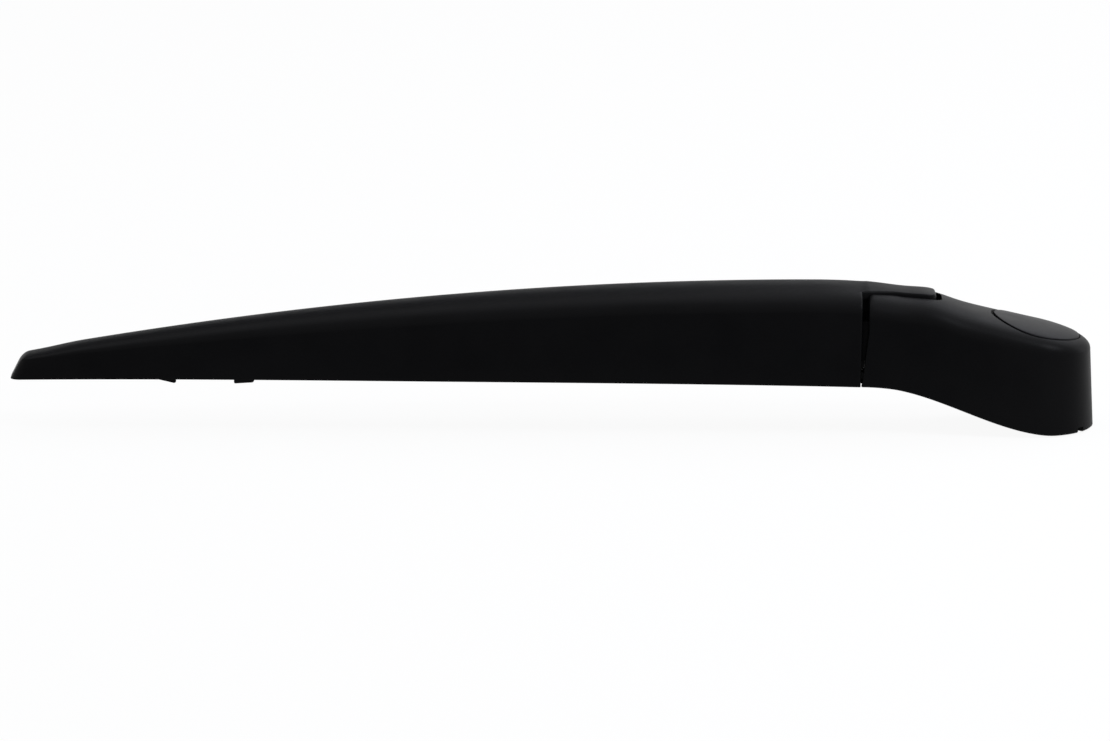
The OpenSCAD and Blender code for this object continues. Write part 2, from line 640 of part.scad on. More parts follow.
// Route of the spring wire: loop on the arm's pin, coil, loop through the hook's eye
function loop_points(x, dir) = [for (a = dir > 0 ? [50 : 29 : 340] : [-160 : 29 : 130])
    [x + loop_r * cos(a), 0, anchor_z + loop_r * sin(a)]];
coil_mid_r = (coil_d - wire_d) / 2;
coil_x0 = arm_anchor_x + loop_r + lead;
function coil_point(t) = let (a = 90 + 360 * t)
    [coil_x0 + coil_len * t / coil_turns, coil_mid_r * cos(a), anchor_z + coil_mid_r * sin(a)];
function spring_route() = concat(loop_points(arm_anchor_x, 1),
    [for (t = [0 : 1 / 12 : coil_turns + 0.001]) coil_point(t)],
    loop_points(eye_x - loop_r, -1));
function unit(v) = v / norm(v);
// A normal carried along the route without twisting
function carried(n, t) = unit(n - t * (n * t));

module tension_spring() {
    route = spring_route();
    last = len(route) - 1;
    ways = [for (i = [0 : last]) unit(route[min(i + 1, last)] - route[max(i - 1, 0)])];
    normals = [for (i = 0, n = carried([0, 1, 0.01], ways[0]); i <= last; i = i + 1,
        n = i <= last ? carried(n, ways[i]) : n) n];
    sides = 6;
    color([0.55, 0.56, 0.58]) tube([for (i = [0 : last])
        [for (k = [0 : sides - 1]) let (a = 360 * k / sides, m = cross(ways[i], normals[i]))
            route[i] + wire_d / 2 * (cos(a) * normals[i] + sin(a) * m)]]);
}

// Bent strap in the XZ plane: a ribbon of even thickness along a line of points
function ribbon(line, t) = let (last = len(line) - 1,
    ways = [for (i = [0 : last]) unit(line[min(i + 1, last)] - line[max(i - 1, 0)])])
    concat([for (i = [0 : last]) line[i] + t / 2 * [-ways[i][1], ways[i][0]]],
        [for (i = [last : -1 : 0]) line[i] - t / 2 * [-ways[i][1], ways[i][0]]]);

module spring_hook() {
    r = anchor_d / 2 + hook_clear + hook_t / 2;
    flat = [[-hook_len - 2.6, 0], [-hook_len + 3.5, 0], [-hook_len + 5.5, 0.5], [-5.5, r - 0.4], [-3.2, r]];
    line = concat(flat,
        [for (a = [90 : -15 : 0]) [r * cos(a), r * sin(a)]],
        [for (a = [0 : -15 : -105]) [r * cos(a), -anchor_sag + r * sin(a)]]);
    color([0.45, 0.46, 0.48]) difference() {
        translate([anchor_x, hook_w / 2, anchor_z]) rotate([90, 0, 0]) linear_extrude(hook_w)
            polygon(ribbon(line, hook_t));
        translate([eye_x, 0, anchor_z - 5]) cylinder(r = wire_d / 2 + 0.5, h = 10);
    }
}

pivot_head();
nut_cap();
spindle_hub();
hinge_pin();
head_anchor_pin();
arm_shell();
hinge_bush_near();
hinge_bush_far();
arm_anchor_pin();
tension_spring();
spring_hook();
blade_pin();
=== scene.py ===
# %% [markdown]
# # A moulded rear wiper arm
# The arm is a long, hollow moulding with a crowned back. It hinges on a moulded head that is
# bolted to the wiper's spindle, and a coil spring hidden inside pulls it to the glass.
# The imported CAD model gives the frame: where each piece sits and which body it moves with.
# This script rebuilds the mouldings with fine, smooth surfaces and gives every piece its finish.

# %% Load the fixed frame
import math

import bmesh
import bpy
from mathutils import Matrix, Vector
from mathutils.geometry import convex_hull_2d


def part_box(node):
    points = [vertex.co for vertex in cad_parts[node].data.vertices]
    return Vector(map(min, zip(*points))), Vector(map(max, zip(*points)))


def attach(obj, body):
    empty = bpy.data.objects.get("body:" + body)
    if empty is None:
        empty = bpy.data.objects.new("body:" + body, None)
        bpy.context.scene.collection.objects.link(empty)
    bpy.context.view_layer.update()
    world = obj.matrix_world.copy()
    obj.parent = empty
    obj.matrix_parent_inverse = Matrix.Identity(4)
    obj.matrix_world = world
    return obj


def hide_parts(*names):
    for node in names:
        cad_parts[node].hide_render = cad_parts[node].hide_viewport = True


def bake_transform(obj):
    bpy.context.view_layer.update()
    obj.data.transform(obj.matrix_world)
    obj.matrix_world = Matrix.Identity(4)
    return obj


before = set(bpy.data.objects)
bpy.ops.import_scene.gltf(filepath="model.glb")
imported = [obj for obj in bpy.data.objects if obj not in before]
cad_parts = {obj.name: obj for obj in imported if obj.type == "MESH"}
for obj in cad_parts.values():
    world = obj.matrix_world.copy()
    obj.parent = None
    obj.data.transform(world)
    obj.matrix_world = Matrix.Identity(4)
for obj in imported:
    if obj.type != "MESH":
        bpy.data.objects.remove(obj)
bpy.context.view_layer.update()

# %% [markdown]
# ## Sizes
# Places are read from the frame where a node shows them: the hinge axis is the middle of the
# hinge pin, the tip is the lowest X of the arm. The rest are the moulding's own driving sizes.

# %% Places from the frame
mm = 0.001


def middle(node):
    low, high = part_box(node)
    return (low + high) / 2


def thickness(node):
    low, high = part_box(node)
    return high.z - low.z


pivot = middle("hinge_pin")
head_anchor = middle("head_anchor_pin")
arm_anchor = middle("arm_anchor_pin")
blade_pin = middle("blade_pin")
arm_len = -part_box("arm_shell")[0].x
head_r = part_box("pivot_head")[1].x
cap_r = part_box("nut_cap")[1].y
hub_low, hub_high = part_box("spindle_hub")
print("hinge axis at", round(pivot.x, 4), round(pivot.z, 4), "tip at", round(-arm_len, 4))

# %% Sizes of the head
head_draft = 1.0 * mm
head_front = 50.7 * mm
head_wall = 2.4 * mm
head_roof = 2.4 * mm
boss_top_z = 31.0 * mm
shoulder_drop = 7.3 * mm
end_drop = 4.5 * mm
neck_sag, sag_x, sag_w = 0.7 * mm, -19.0 * mm, 9.0 * mm
top_slope = math.tan(math.radians(12.5))
rim_rise = 14.35 * mm
rim_start = 6.2 * mm
boss_n, crown_n = 3.0, 2.4
front_edge_r = 1.5 * mm
front_lean, knee_z = 2.1 * mm, 31.0 * mm
joint_gap = 1.8 * mm
flush_step = 0.8 * mm
front_slope = 0.1
swell, swell_x, swell_w = 1.0 * mm, -31.0 * mm, 6.5 * mm
edge_r = 0.5 * mm

# %% Sizes of the arm
arm_w = 28.0 * mm
tip_w = 11.2 * mm
taper_from = 75.0 * mm
taper_power = 1.55
arm_wall = 2.2 * mm
back_top_z = 43.5 * mm
back_apex = 70.0 * mm
back_drop = 21.9 * mm
root_fall, fall_from = 0.4 * mm, 66.0 * mm
crown_h = 7.3 * mm
crown_fade = 0.86
sole_n = 110
sole_z = 15.5 * mm
sole_arch = 1.0 * mm
sole_tilt = 0.25 * mm
tip_lean = math.tan(math.radians(27.0))
tip_lean_len = 22.0 * mm
tip_corner_r = 3.0 * mm
tip_edge_r = 1.8 * mm
root_lean = 0.6 * mm
root_lean_len = 12.0 * mm
front_x = -head_front
root_x = front_x - joint_gap
taper_len = arm_len - taper_from
sole_mid = (arm_len + head_front) / 2
sole_half = (arm_len - head_front) / 2

# %% [markdown]
# ## The rules of the form
# Both mouldings follow simple rules. A crown is a superellipse: with a power of 2 it would be
# an ellipse, and a larger power flattens its top and tightens its shoulders. The back of the
# arm is a parabola along its length, and the head's top is one smooth curve from the arm down
# to the round boss. Writing them as small functions lets every piece share the same surface.

# %% Curves that both mouldings share
def smooth(t):
    t = min(max(t, 0.0), 1.0)
    return t * t * (3 - 2 * t)


def crown(f, n):
    return max(0.0, 1 - min(abs(f), 1.0) ** n) ** (1 / n)


def round_off(d, r):
    """How far a quarter round of radius r draws a face in, at distance d from its end."""
    return 0.0 if d >= r else r - math.sqrt(max(0.0, r * r - (r - d) ** 2))


# %% The arm's outline, by place along X
def past_taper(x):
    return max(0.0, -x - taper_from) / taper_len


def arm_half(x):
    return arm_w / 2 - (arm_w - tip_w) / 2 * past_taper(x) ** taper_power


def arm_crest(x):
    fall = root_fall * min(1.0, max(0.0, (x + fall_from) / (fall_from + root_x))) ** 2
    return back_top_z - fall - back_drop * ((x + back_apex) / (arm_len - back_apex)) ** 2


def arm_sole(x):
    share = (x + sole_mid) / sole_half
    return sole_z - sole_arch * abs(share) ** 3 - sole_tilt * share


def arm_crown(x):
    return crown_h * (1 - crown_fade * past_taper(x) ** 3)


root_height = arm_crest(root_x) - arm_sole(root_x)

# %% The head's outline, by place along X
def head_crest(x):
    """Height of the head's middle line: straight over the boss, a Hermite curve over the neck."""
    if x > 0:
        return boss_top_z - top_slope * x
    t = -x / head_front
    front_z = arm_crest(root_x) - flush_step
    return (
        (2 * t**3 - 3 * t**2 + 1) * boss_top_z
        + (t**3 - 2 * t**2 + t) * head_front * top_slope
        + (3 * t**2 - 2 * t**3) * front_z
        + (t**3 - t**2) * head_front * front_slope
        + swell * math.exp(-(((x - swell_x) / swell_w) ** 2))
    )


def neck_share(x):
    return smooth(-x / (head_front - 6 * mm))


def half_low(x):
    return head_r + (arm_w / 2 + 0.1 * mm - head_r) * neck_share(x)


def half_up(x):
    return head_r - head_draft + (arm_w / 2 - 0.1 * mm - head_r + head_draft) * neck_share(x)


def head_rim(x):
    return rim_rise * smooth((rim_start - x) / (rim_start + head_front))


def neck_drop(x):
    sag = neck_sag * math.exp(-(((x - sag_x) / sag_w) ** 2))
    return shoulder_drop + sag + (crown_h - shoulder_drop) * min(1.0, max(0.0, -x) / head_front)


def boss_drop(angle):
    return shoulder_drop + (end_drop - shoulder_drop) * math.cos(angle) ** 2


def head_n(x):
    return boss_n - (boss_n - crown_n) * smooth(-x / (head_front - 10 * mm))


def head_top(x, y):
    """Height of the head's top over a point: a round crown past the axis, a ridge over the neck."""
    if x > 0:
        share = math.hypot(x, y) / (head_r - head_draft)
        return head_crest(x) - boss_drop(math.atan2(y, x)) * (1 - crown(share, boss_n))
    return head_crest(x) - neck_drop(x) * (1 - crown(y / half_up(x), head_n(x)))


print("head top over the axis", round(head_top(0, 0), 4))
print("head top at the front", round(head_crest(front_x), 4))

# %% [markdown]
# ## Mesh helpers
# Most solids here are lofts: a skin over rings of points. A ring that is mirrored about its
# middle can be closed by strips across it, which bend with the surface where one big face
# could not. Turned parts are lofts of circles. Tools that cut or join are solids as well, and
# the Manifold solver joins closed solids quickly and cleanly.

# %% Lofts, turned solids and blocks
def show(name, data):
    """An object at the origin, in the scene."""
    obj = bpy.data.objects.new(name, data)
    bpy.context.scene.collection.objects.link(obj)
    return obj


def solid(name, points, faces):
    mesh = bpy.data.meshes.new(name)
    mesh.from_pydata([tuple(p) for p in points], [], faces)
    made = bmesh.new()
    made.from_mesh(mesh)
    bmesh.ops.remove_doubles(made, verts=made.verts, dist=1e-7)
    bmesh.ops.recalc_face_normals(made, faces=made.faces)
    made.to_mesh(mesh)
    made.free()
    return show(name, mesh)


def loft(name, rings, strips=False):
    """Skin over closed rings of equal length. Its ends are single faces, or strips across."""
    n = len(rings[0])
    faces = []
    for k in range(len(rings) - 1):
        for i in range(n):
            j = (i + 1) % n
            faces.append((k * n + i, k * n + j, (k + 1) * n + j, (k + 1) * n + i))
    for first in (0, (len(rings) - 1) * n):
        if strips:
            for i in range((n - 1) // 2):
                strip = [first + i, first + i + 1, first + n - 2 - i, first + n - 1 - i]
                faces.append(tuple(dict.fromkeys(strip)))
        else:
            faces.append(tuple(range(first, first + n)))
    return solid(name, [p for ring in rings for p in ring], faces)


def circle(r, sides=96):
    turns = [2 * math.pi * i / sides for i in range(sides)]
    return [(r * math.cos(a), r * math.sin(a)) for a in turns]


def turned(name, profile, centre=(0, 0, 0), axis="z", sides=96):
    """A solid of revolution. profile pairs a radius with a place along the axis."""
    rings = []
    for r, along in profile:
        ring = [(u, v, along) if axis == "z" else (u, along, v) for u, v in circle(r, sides)]
        rings.append([Vector(p) + Vector(centre) for p in ring])
    return loft(name, rings)


def prism(name, outline, plane, start, end):
    """An outline in the XY, XZ or YZ plane, drawn out along the third axis."""
    place = {
        "xy": lambda a, b, h: (a, b, h),
        "xz": lambda a, b, h: (a, h, b),
        "yz": lambda a, b, h: (h, a, b),
    }[plane]
    return loft(name, [[place(a, b, h) for a, b in outline] for h in (start, end)])


def block(name, low, high):
    outline = [(low[0], low[1]), (high[0], low[1]), (high[0], high[1]), (low[0], high[1])]
    return prism(name, outline, "xy", low[2], high[2])


def bar(name, r, at, y0, y1, bevel=0.0, sides=64):
    """A round bar along Y with chamfered ends."""
    profile = [(r, y0), (r, y1)]
    if bevel:
        profile = [(r - bevel, y0), (r, y0 + bevel), (r, y1 - bevel), (r - bevel, y1)]
    return turned(name, profile, (at.x, 0, at.z), "y", sides)


def both_sides(near, far):
    """The span from near to far on the -Y side, then on the +Y side, each in rising order."""
    return [(-far, -near), (near, far)]


# %% Join and cut
def combine(target, operation, tools):
    """Joins closed tools to the target, or cuts them out of it, and removes the tools."""
    for tool in tools:
        step = target.modifiers.new("step", "BOOLEAN")
        step.operation = operation
        step.solver = "MANIFOLD"
        step.object = tool
        bpy.context.view_layer.update()
        result = bpy.data.meshes.new_from_object(
            target.evaluated_get(bpy.context.evaluated_depsgraph_get())
        )
        target.modifiers.clear()
        target.data = result
        bpy.data.objects.remove(tool)
    return target


# %% [markdown]
# ## One helper for node trees
# Materials and Geometry Nodes are both built from nodes. This helper adds one node with its
# settings, and gives each socket either a plain value or a link from another node.

# %% Add a node
def add(tree, kind, inputs=None, **settings):
    node = tree.nodes.new(kind)
    for name, value in settings.items():
        setattr(node, name, value)
    for socket, value in (inputs or {}).items():
        if isinstance(value, bpy.types.Node):
            value = value.outputs[0]
        if isinstance(value, bpy.types.NodeSocket):
            tree.links.new(value, node.inputs[socket])
        else:
            node.inputs[socket].default_value = value
    return node


def colour(hex_code):
    """An sRGB hex colour as the linear numbers that a shader works in."""
    srgb = [int(hex_code[i : i + 2], 16) / 255 for i in (1, 3, 5)]
    linear = [c / 12.92 if c <= 0.04045 else ((c + 0.055) / 1.055) ** 2.4 for c in srgb]
    return (*linear, 1.0)


def empty_material(name):
    material = bpy.data.materials.new(name)
    material.use_nodes = True
    material.node_tree.nodes.clear()
    return material, material.node_tree


def finish_shader(tree, stain, tints, gloss, roughness, swing, relief, strength, depth, others):
    """Noises mix two tints, swing the roughness and give relief. others sets the rest by name."""
    dark, light = tints
    mix = add(
        tree, "ShaderNodeMix", {0: stain, 6: colour(dark), 7: colour(light)}, data_type="RGBA"
    )
    rough = add(
        tree, "ShaderNodeMapRange",
        {"Value": gloss, "From Min": 0.3, "From Max": 0.7,
         "To Min": roughness - swing, "To Max": roughness + swing},
    )
    bump = add(
        tree, "ShaderNodeBump", {"Height": relief, "Strength": strength, "Distance": depth}
    )
    shader = add(
        tree, "ShaderNodeBsdfPrincipled",
        {"Base Color": mix.outputs[2], "Roughness": rough, "Normal": bump, **others},
    )
    add(tree, "ShaderNodeOutputMaterial", {"Surface": shader})


# %% [markdown]
# ## Finishes
# The arm, the head and the cap are glass-filled nylon, moulded in a spark-eroded tool. The
# tool leaves a fine, even grain, so the black is satin: it is nearly black face on and greys
# at a glancing angle, where the Fresnel reflection grows. The grain is 0.25 mm on a real arm.
# Here it is drawn at 0.6 mm, as coarse as it needs to be to show at all.

# %% Moulded black nylon
def moulded_nylon(name, tints, roughness, grain, specular):
    material, tree = empty_material(name)
    place = add(tree, "ShaderNodeTexCoord").outputs["Object"]
    flow = add(tree, "ShaderNodeTexNoise", {"Vector": place, "Scale": 1 / (14 * mm), "Detail": 3.0})
    grit = add(tree, "ShaderNodeTexNoise", {"Vector": place, "Scale": 1 / grain, "Detail": 2.0})
    others = {"IOR": 1.53, "Specular IOR Level": specular}
    finish_shader(tree, flow, tints, flow, roughness, 0.04, grit, 0.25, 0.03 * mm, others)
    return material


satin_black = ("#050506", "#09090a")
arm_nylon = moulded_nylon("moulded_nylon_arm", satin_black, 0.42, 0.6 * mm, 0.045)
head_nylon = moulded_nylon("moulded_nylon_head", satin_black, 0.42, 0.6 * mm, 0.045)
cap_nylon = moulded_nylon("moulded_nylon_cap", ("#070709", "#0b0b0d"), 0.4, 0.5 * mm, 0.055)

# %% [markdown]
# The small parts are metal: zinc plated pins, a phosphated spring wire, a hook pressed from
# blackened strip and a die-cast hub. Drawing and turning leave fine lines along the way that
# the metal moved, so the noise is stretched: long one way and short the other. Phosphate and
# black oxide leave the metal's gloss but take nearly all its light, so both are very dark.

# %% Metals with lines of drawing or turning
def worked_metal(name, tints, roughness, stretch, line):
    material, tree = empty_material(name)
    place = add(tree, "ShaderNodeTexCoord").outputs["Object"]
    along = add(tree, "ShaderNodeMapping", {"Vector": place, "Scale": stretch})
    lines = add(tree, "ShaderNodeTexNoise", {"Vector": along, "Scale": 1 / line, "Detail": 3.0})
    stain = add(tree, "ShaderNodeTexNoise", {"Vector": place, "Scale": 1 / (3 * mm), "Detail": 4.0})
    others = {"Metallic": 1.0}
    finish_shader(tree, stain, tints, lines, roughness, 0.08, lines, 0.3, 0.01 * mm, others)
    return material


pin_steel = worked_metal(
    "zinc_plated_pin_steel", ("#b4b6b8", "#d0d2d4"), 0.3, (1, 0.08, 1), 0.3 * mm
)
spring_steel = worked_metal(
    "phosphated_spring_wire", ("#3a3b3d", "#47484b"), 0.42, (1, 1, 1), 0.4 * mm
)
strap_steel = worked_metal(
    "blackened_strip_steel", ("#202123", "#2a2b2d"), 0.5, (0.1, 1, 1), 0.3 * mm
)
cast_zinc = worked_metal("die_cast_zinc", ("#96989a", "#b2b4b6"), 0.45, (1, 1, 1), 0.8 * mm)

# %% [markdown]
# The two hinge bushes are acetal, a slippery off-white plastic. It is slightly translucent,
# which a little subsurface light gives.

# %% Acetal
bush_acetal, tree = empty_material("turned_acetal")
place = add(tree, "ShaderNodeTexCoord").outputs["Object"]
cloud = add(tree, "ShaderNodeTexNoise", {"Vector": place, "Scale": 1 / (2 * mm), "Detail": 2.0})
finish_shader(
    tree, cloud, ("#d9d6ca", "#e6e4da"), cloud, 0.38, 0.0, cloud, 0.1, 0.02 * mm,
    {"IOR": 1.48, "Subsurface Weight": 0.1, "Subsurface Radius": (1 * mm, 1 * mm, 0.8 * mm)},
)
print("finishes:", arm_nylon.name, cap_nylon.name, pin_steel.name, cast_zinc.name, bush_acetal.name)

# %% [markdown]
# ## Finishing a piece
# Every piece gets its material and smooth shading that breaks at real edges. It is hung on the
# body that it moves with, where it is given one, and the CAD node that it stands for is hidden.

# %% Finish a piece
def finish_piece(obj, material, body, nodes, sharp=32):
    obj.data.materials.clear()
    obj.data.materials.append(material)
    obj.data.polygons.foreach_set("material_index", [0] * len(obj.data.polygons))
    obj.data.shade_smooth()
    obj.data.set_sharp_from_angle(angle=math.radians(sharp))
    if body:
        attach(obj, body)
    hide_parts(*nodes)
    print(obj.name, len(obj.data.polygons), "faces on", body)
    return obj


# %% [markdown]
# ## The arm's moulding
# The arm is the main piece, and its shape is a rule: at each place along X, the section is a
# crowned box whose width, height and crown follow curves. Geometry Nodes can write such a
# rule straight into a tube. A line swept with a circle gives an even tube with closed ends,
# and two captured values, the share along the line and the turn round the circle, say where
# each point belongs. The same tree makes the outer form, the hollow and the core that trims
# the ribs, only with other inputs.

# %% The rule of the arm, as a table of sums
# Each row is a name, an operation, and its inputs: numbers, or the names of earlier rows.
# A SMOOTHSTEP row fades from 1 at its second input to 0 at its third.
def rounding_rows(end, r, distance):
    """The rows that say what round_off says, for a quarter round of radius r."""
    return [
        (end + "_near", "SUBTRACT", r, distance),
        (end + "_in", "MAXIMUM", end + "_near", 0.0),
        (end + "_sq", "MULTIPLY", end + "_in", end + "_in"),
        (end + "_left", "SUBTRACT", r**2, end + "_sq"),
        (end + "_arc", "SQRT", end + "_left", 0.0),
        (end + "_cut", "SUBTRACT", r, end + "_arc"),
    ]


arm_rule = [
    ("turned_share", "MULTIPLY", "along", math.pi),
    ("cosine_share", "COSINE", "turned_share", 0.0),
    ("eased", "MULTIPLY_ADD", "cosine_share", -0.5, 0.5),
    ("span", "SUBTRACT", "End", "Start"),
    ("x", "MULTIPLY_ADD", "eased", "span", "Start"),
    ("from_tip", "ADD", "x", arm_len),
    ("from_root", "SUBTRACT", root_x, "x"),
    ("beyond", "SUBTRACT", -taper_from, "x"),
    ("past_mm", "MAXIMUM", "beyond", 0.0),
    ("past", "DIVIDE", "past_mm", taper_len),
    ("narrowing", "POWER", "past", taper_power),
    ("full_half", "MULTIPLY_ADD", "narrowing", -(arm_w - tip_w) / 2, arm_w / 2),
    *rounding_rows("tip", tip_corner_r, "from_tip"),
    *rounding_rows("edge", tip_edge_r, "from_tip"),
    *rounding_rows("root", edge_r, "from_root"),
    ("side_cut", "ADD", "tip_cut", "root_cut"),
    ("side_in", "MULTIPLY_ADD", "side_cut", "Round ends", "Inset"),
    ("half", "SUBTRACT", "full_half", "side_in"),
    ("back_x", "ADD", "x", back_apex),
    ("back_share", "DIVIDE", "back_x", arm_len - back_apex),
    ("back_sq", "MULTIPLY", "back_share", "back_share"),
    ("back_line", "MULTIPLY_ADD", "back_sq", -back_drop, back_top_z),
    ("fall_x", "ADD", "x", fall_from),
    ("falling", "MAXIMUM", "fall_x", 0.0),
    ("fall_sq", "MULTIPLY", "falling", "falling"),
    ("back_z", "MULTIPLY_ADD", "fall_sq", -root_fall / (fall_from + root_x) ** 2, "back_line"),
    ("top_cut", "ADD", "edge_cut", "root_cut"),
    ("top_in", "MULTIPLY_ADD", "top_cut", "Round ends", "Inset"),
    ("top_z", "SUBTRACT", "back_z", "top_in"),
    ("past_2", "MULTIPLY", "past", "past"),
    ("past_3", "MULTIPLY", "past_2", "past"),
    ("fade", "MULTIPLY_ADD", "past_3", -crown_fade * crown_h, crown_h),
    ("crown_z", "MULTIPLY", "fade", "Crown share"),
    ("shoulder_z", "SUBTRACT", "top_z", "crown_z"),
    ("sole_x", "ADD", "x", sole_mid),
    ("sole_share", "DIVIDE", "sole_x", sole_half),
    ("sole_off", "ABSOLUTE", "sole_share", 0.0),
    ("sole_cube", "POWER", "sole_off", 3.0),
    ("arched_z", "MULTIPLY_ADD", "sole_cube", -sole_arch, sole_z),
    ("foot_z", "MULTIPLY_ADD", "sole_share", -sole_tilt, "arched_z"),
    ("bottom_z", "ADD", "foot_z", "Floor"),
    ("cos", "COSINE", "turn", 0.0),
    ("sin", "SINE", "turn", 0.0),
    ("side", "SIGN", "cos", 0.0),
    ("abs_cos", "ABSOLUTE", "cos", 0.0),
    ("abs_sin", "ABSOLUTE", "sin", 0.0),
    ("above", "GREATER_THAN", "sin", 0.0),
    ("power", "MULTIPLY_ADD", "above", 2 / crown_n - 2 / sole_n, 2 / sole_n),
    ("across", "POWER", "abs_cos", "power"),
    ("up_share", "POWER", "abs_sin", "power"),
    ("wide", "MULTIPLY", "across", "half"),
    ("y", "MULTIPLY", "wide", "side"),
    ("wall_h", "SUBTRACT", "shoulder_z", "bottom_z"),
    ("below", "SUBTRACT", 1.0, "above"),
    ("rise", "MULTIPLY", "above", "crown_z"),
    ("fall", "MULTIPLY", "below", "wall_h"),
    ("reach", "SUBTRACT", "rise", "fall"),
    ("z", "MULTIPLY_ADD", "up_share", "reach", "shoulder_z"),
    ("up", "SUBTRACT", "z", "foot_z"),
    ("near_tip", "SMOOTHSTEP", "from_tip", 0.0, tip_lean_len),
    ("near_root", "SMOOTHSTEP", "from_root", 0.0, root_lean_len),
    ("tip_push", "MULTIPLY", "up", tip_lean),
    ("tip_move", "MULTIPLY", "tip_push", "near_tip"),
    ("root_push", "MULTIPLY_ADD", "up", root_lean / root_height, -root_lean),
    ("root_move", "MULTIPLY", "root_push", "near_root"),
    ("both", "ADD", "tip_move", "root_move"),
    ("out_x", "ADD", "x", "both"),
]

# %% How each tree starts and ends
def geometry_tree(name, **kinds):
    """A new Geometry Nodes tree and its inputs: those named in kinds, then the finish."""
    tree = bpy.data.node_groups.new(name, "GeometryNodeTree")
    tree.interface.new_socket(name="Geometry", in_out="OUTPUT", socket_type="NodeSocketGeometry")
    for kind, names in {**kinds, "Material": ["Finish"]}.items():
        for socket in names:
            tree.interface.new_socket(name=socket, in_out="INPUT", socket_type="NodeSocket" + kind)
    return tree, add(tree, "NodeGroupInput").outputs


def close_tree(tree, geometry, finish):
    whole = add(tree, "GeometryNodeRealizeInstances", {"Geometry": geometry})
    dressed = add(tree, "GeometryNodeSetMaterial", {"Geometry": whole, "Material": finish})
    add(tree, "NodeGroupOutput", {"Geometry": dressed})
    return tree


# %% The tree that sweeps the rule into a tube
rule_inputs = ("Start", "End", "Inset", "Floor", "Crown share", "Round ends")


def arm_tree():
    tree, given = geometry_tree("arm_by_rule", Float=rule_inputs, Int=("Stations", "Turns"))
    line = add(tree, "GeometryNodeCurvePrimitiveLine", {"End": (1.0, 0.0, 0.0)})
    spine = add(tree, "GeometryNodeResampleCurve", {"Curve": line, "Count": given["Stations"]})
    ring = add(tree, "GeometryNodeCurvePrimitiveCircle", {"Resolution": given["Turns"]})
    ends = []
    for curve in (spine, ring):
        catch = add(tree, "GeometryNodeCaptureAttribute")
        catch.capture_items.new("FLOAT", "share")
        tree.links.new(curve.outputs[0], catch.inputs["Geometry"])
        tree.links.new(add(tree, "GeometryNodeSplineParameter").outputs["Factor"], catch.inputs[1])
        ends.append(catch)
    tube = add(
        tree, "GeometryNodeCurveToMesh",
        {"Curve": ends[0].outputs[0], "Profile Curve": ends[1].outputs[0], "Fill Caps": True},
    )
    turn = add(
        tree, "ShaderNodeMath", {0: ends[1].outputs[1], 1: 2 * math.pi}, operation="MULTIPLY"
    )
    known = {"along": ends[0].outputs[1], "turn": turn.outputs[0]}
    known.update((name, given[name]) for name in rule_inputs)
    for name, operation, *values in arm_rule:
        values = [known.get(v, v) if isinstance(v, str) else v for v in values]
        if operation == "SMOOTHSTEP":
            fade = {"Value": values[0], "From Min": values[1], "From Max": values[2],
                    "To Min": 1.0, "To Max": 0.0}
            row = add(tree, "ShaderNodeMapRange", fade, interpolation_type="SMOOTHSTEP")
        else:
            row = add(tree, "ShaderNodeMath", dict(enumerate(values)), operation=operation)
        known[name] = row.outputs[0]
    place = add(tree, "ShaderNodeCombineXYZ", {0: known["out_x"], 1: known["y"], 2: known["z"]})
    moved = add(tree, "GeometryNodeSetPosition", {"Geometry": tube, "Position": place})
    return close_tree(tree, moved, given["Finish"])


# %% Run a tree and keep its mesh
def made_by(name, tree, values, start_mesh=None):
    """Runs a Geometry Nodes tree on its own object and keeps the result as a plain mesh."""
    obj = show(name, start_mesh or bpy.data.meshes.new(name))
    nodes = obj.modifiers.new("nodes", "NODES")
    nodes.node_group = tree
    for item in tree.interface.items_tree:
        if item.in_out == "INPUT" and item.name in values:
            nodes[item.identifier] = values[item.name]
    bpy.context.view_layer.update()
    graph = bpy.context.evaluated_depsgraph_get()
    mesh = bpy.data.meshes.new_from_object(obj.evaluated_get(graph))
    faces = [tuple(face.vertices) for face in mesh.polygons]
    kept = solid(name, [vertex.co.copy() for vertex in mesh.vertices], faces)
    bpy.data.objects.remove(obj)
    kept.name = name
    return kept


arm_by_rule = arm_tree()
outer = {"Start": -arm_len, "End": root_x, "Inset": 0.0, "Floor": 0.0, "Crown share": 1.0,
         "Round ends": 1.0, "Stations": 150, "Turns": 96, "Finish": arm_nylon}
hollow = {**outer, "Start": -arm_len + arm_wall + 0.6 * mm, "End": root_x + 4 * mm,
          "Inset": arm_wall, "Floor": -3 * mm, "Crown share": 0.8, "Round ends": 0.0,
          "Stations": 70, "Turns": 64}
arm = made_by("arm_moulding", arm_by_rule, outer)
arm_hollow = made_by("arm_hollow", arm_by_rule, hollow)
print("arm form:", len(arm.data.polygons), "faces; hollow:", len(arm_hollow.data.polygons))

# %% [markdown]
# ## Ribs across the channel
# The channel under the back is stiffened by thin ribs at an even pitch. They repeat, so a
# second tree sets one slab on each point of a line. The slabs are then trimmed by the core,
# which is the arm's own rule, drawn half a wall inside its skin and 5 mm above its foot.

# %% Sizes of the ribs
rib_t = 1.4 * mm
rib_pitch = 19.0 * mm
rib_clear = 5.0 * mm
catch_span = 17.4 * mm
catch_len = 6.0 * mm
ribs_from = arm_anchor.x - 12 * mm
ribs_to = blade_pin.x + catch_span / 2 + catch_len + 3 * mm
rib_count = int((ribs_from - ribs_to) / rib_pitch) + 1

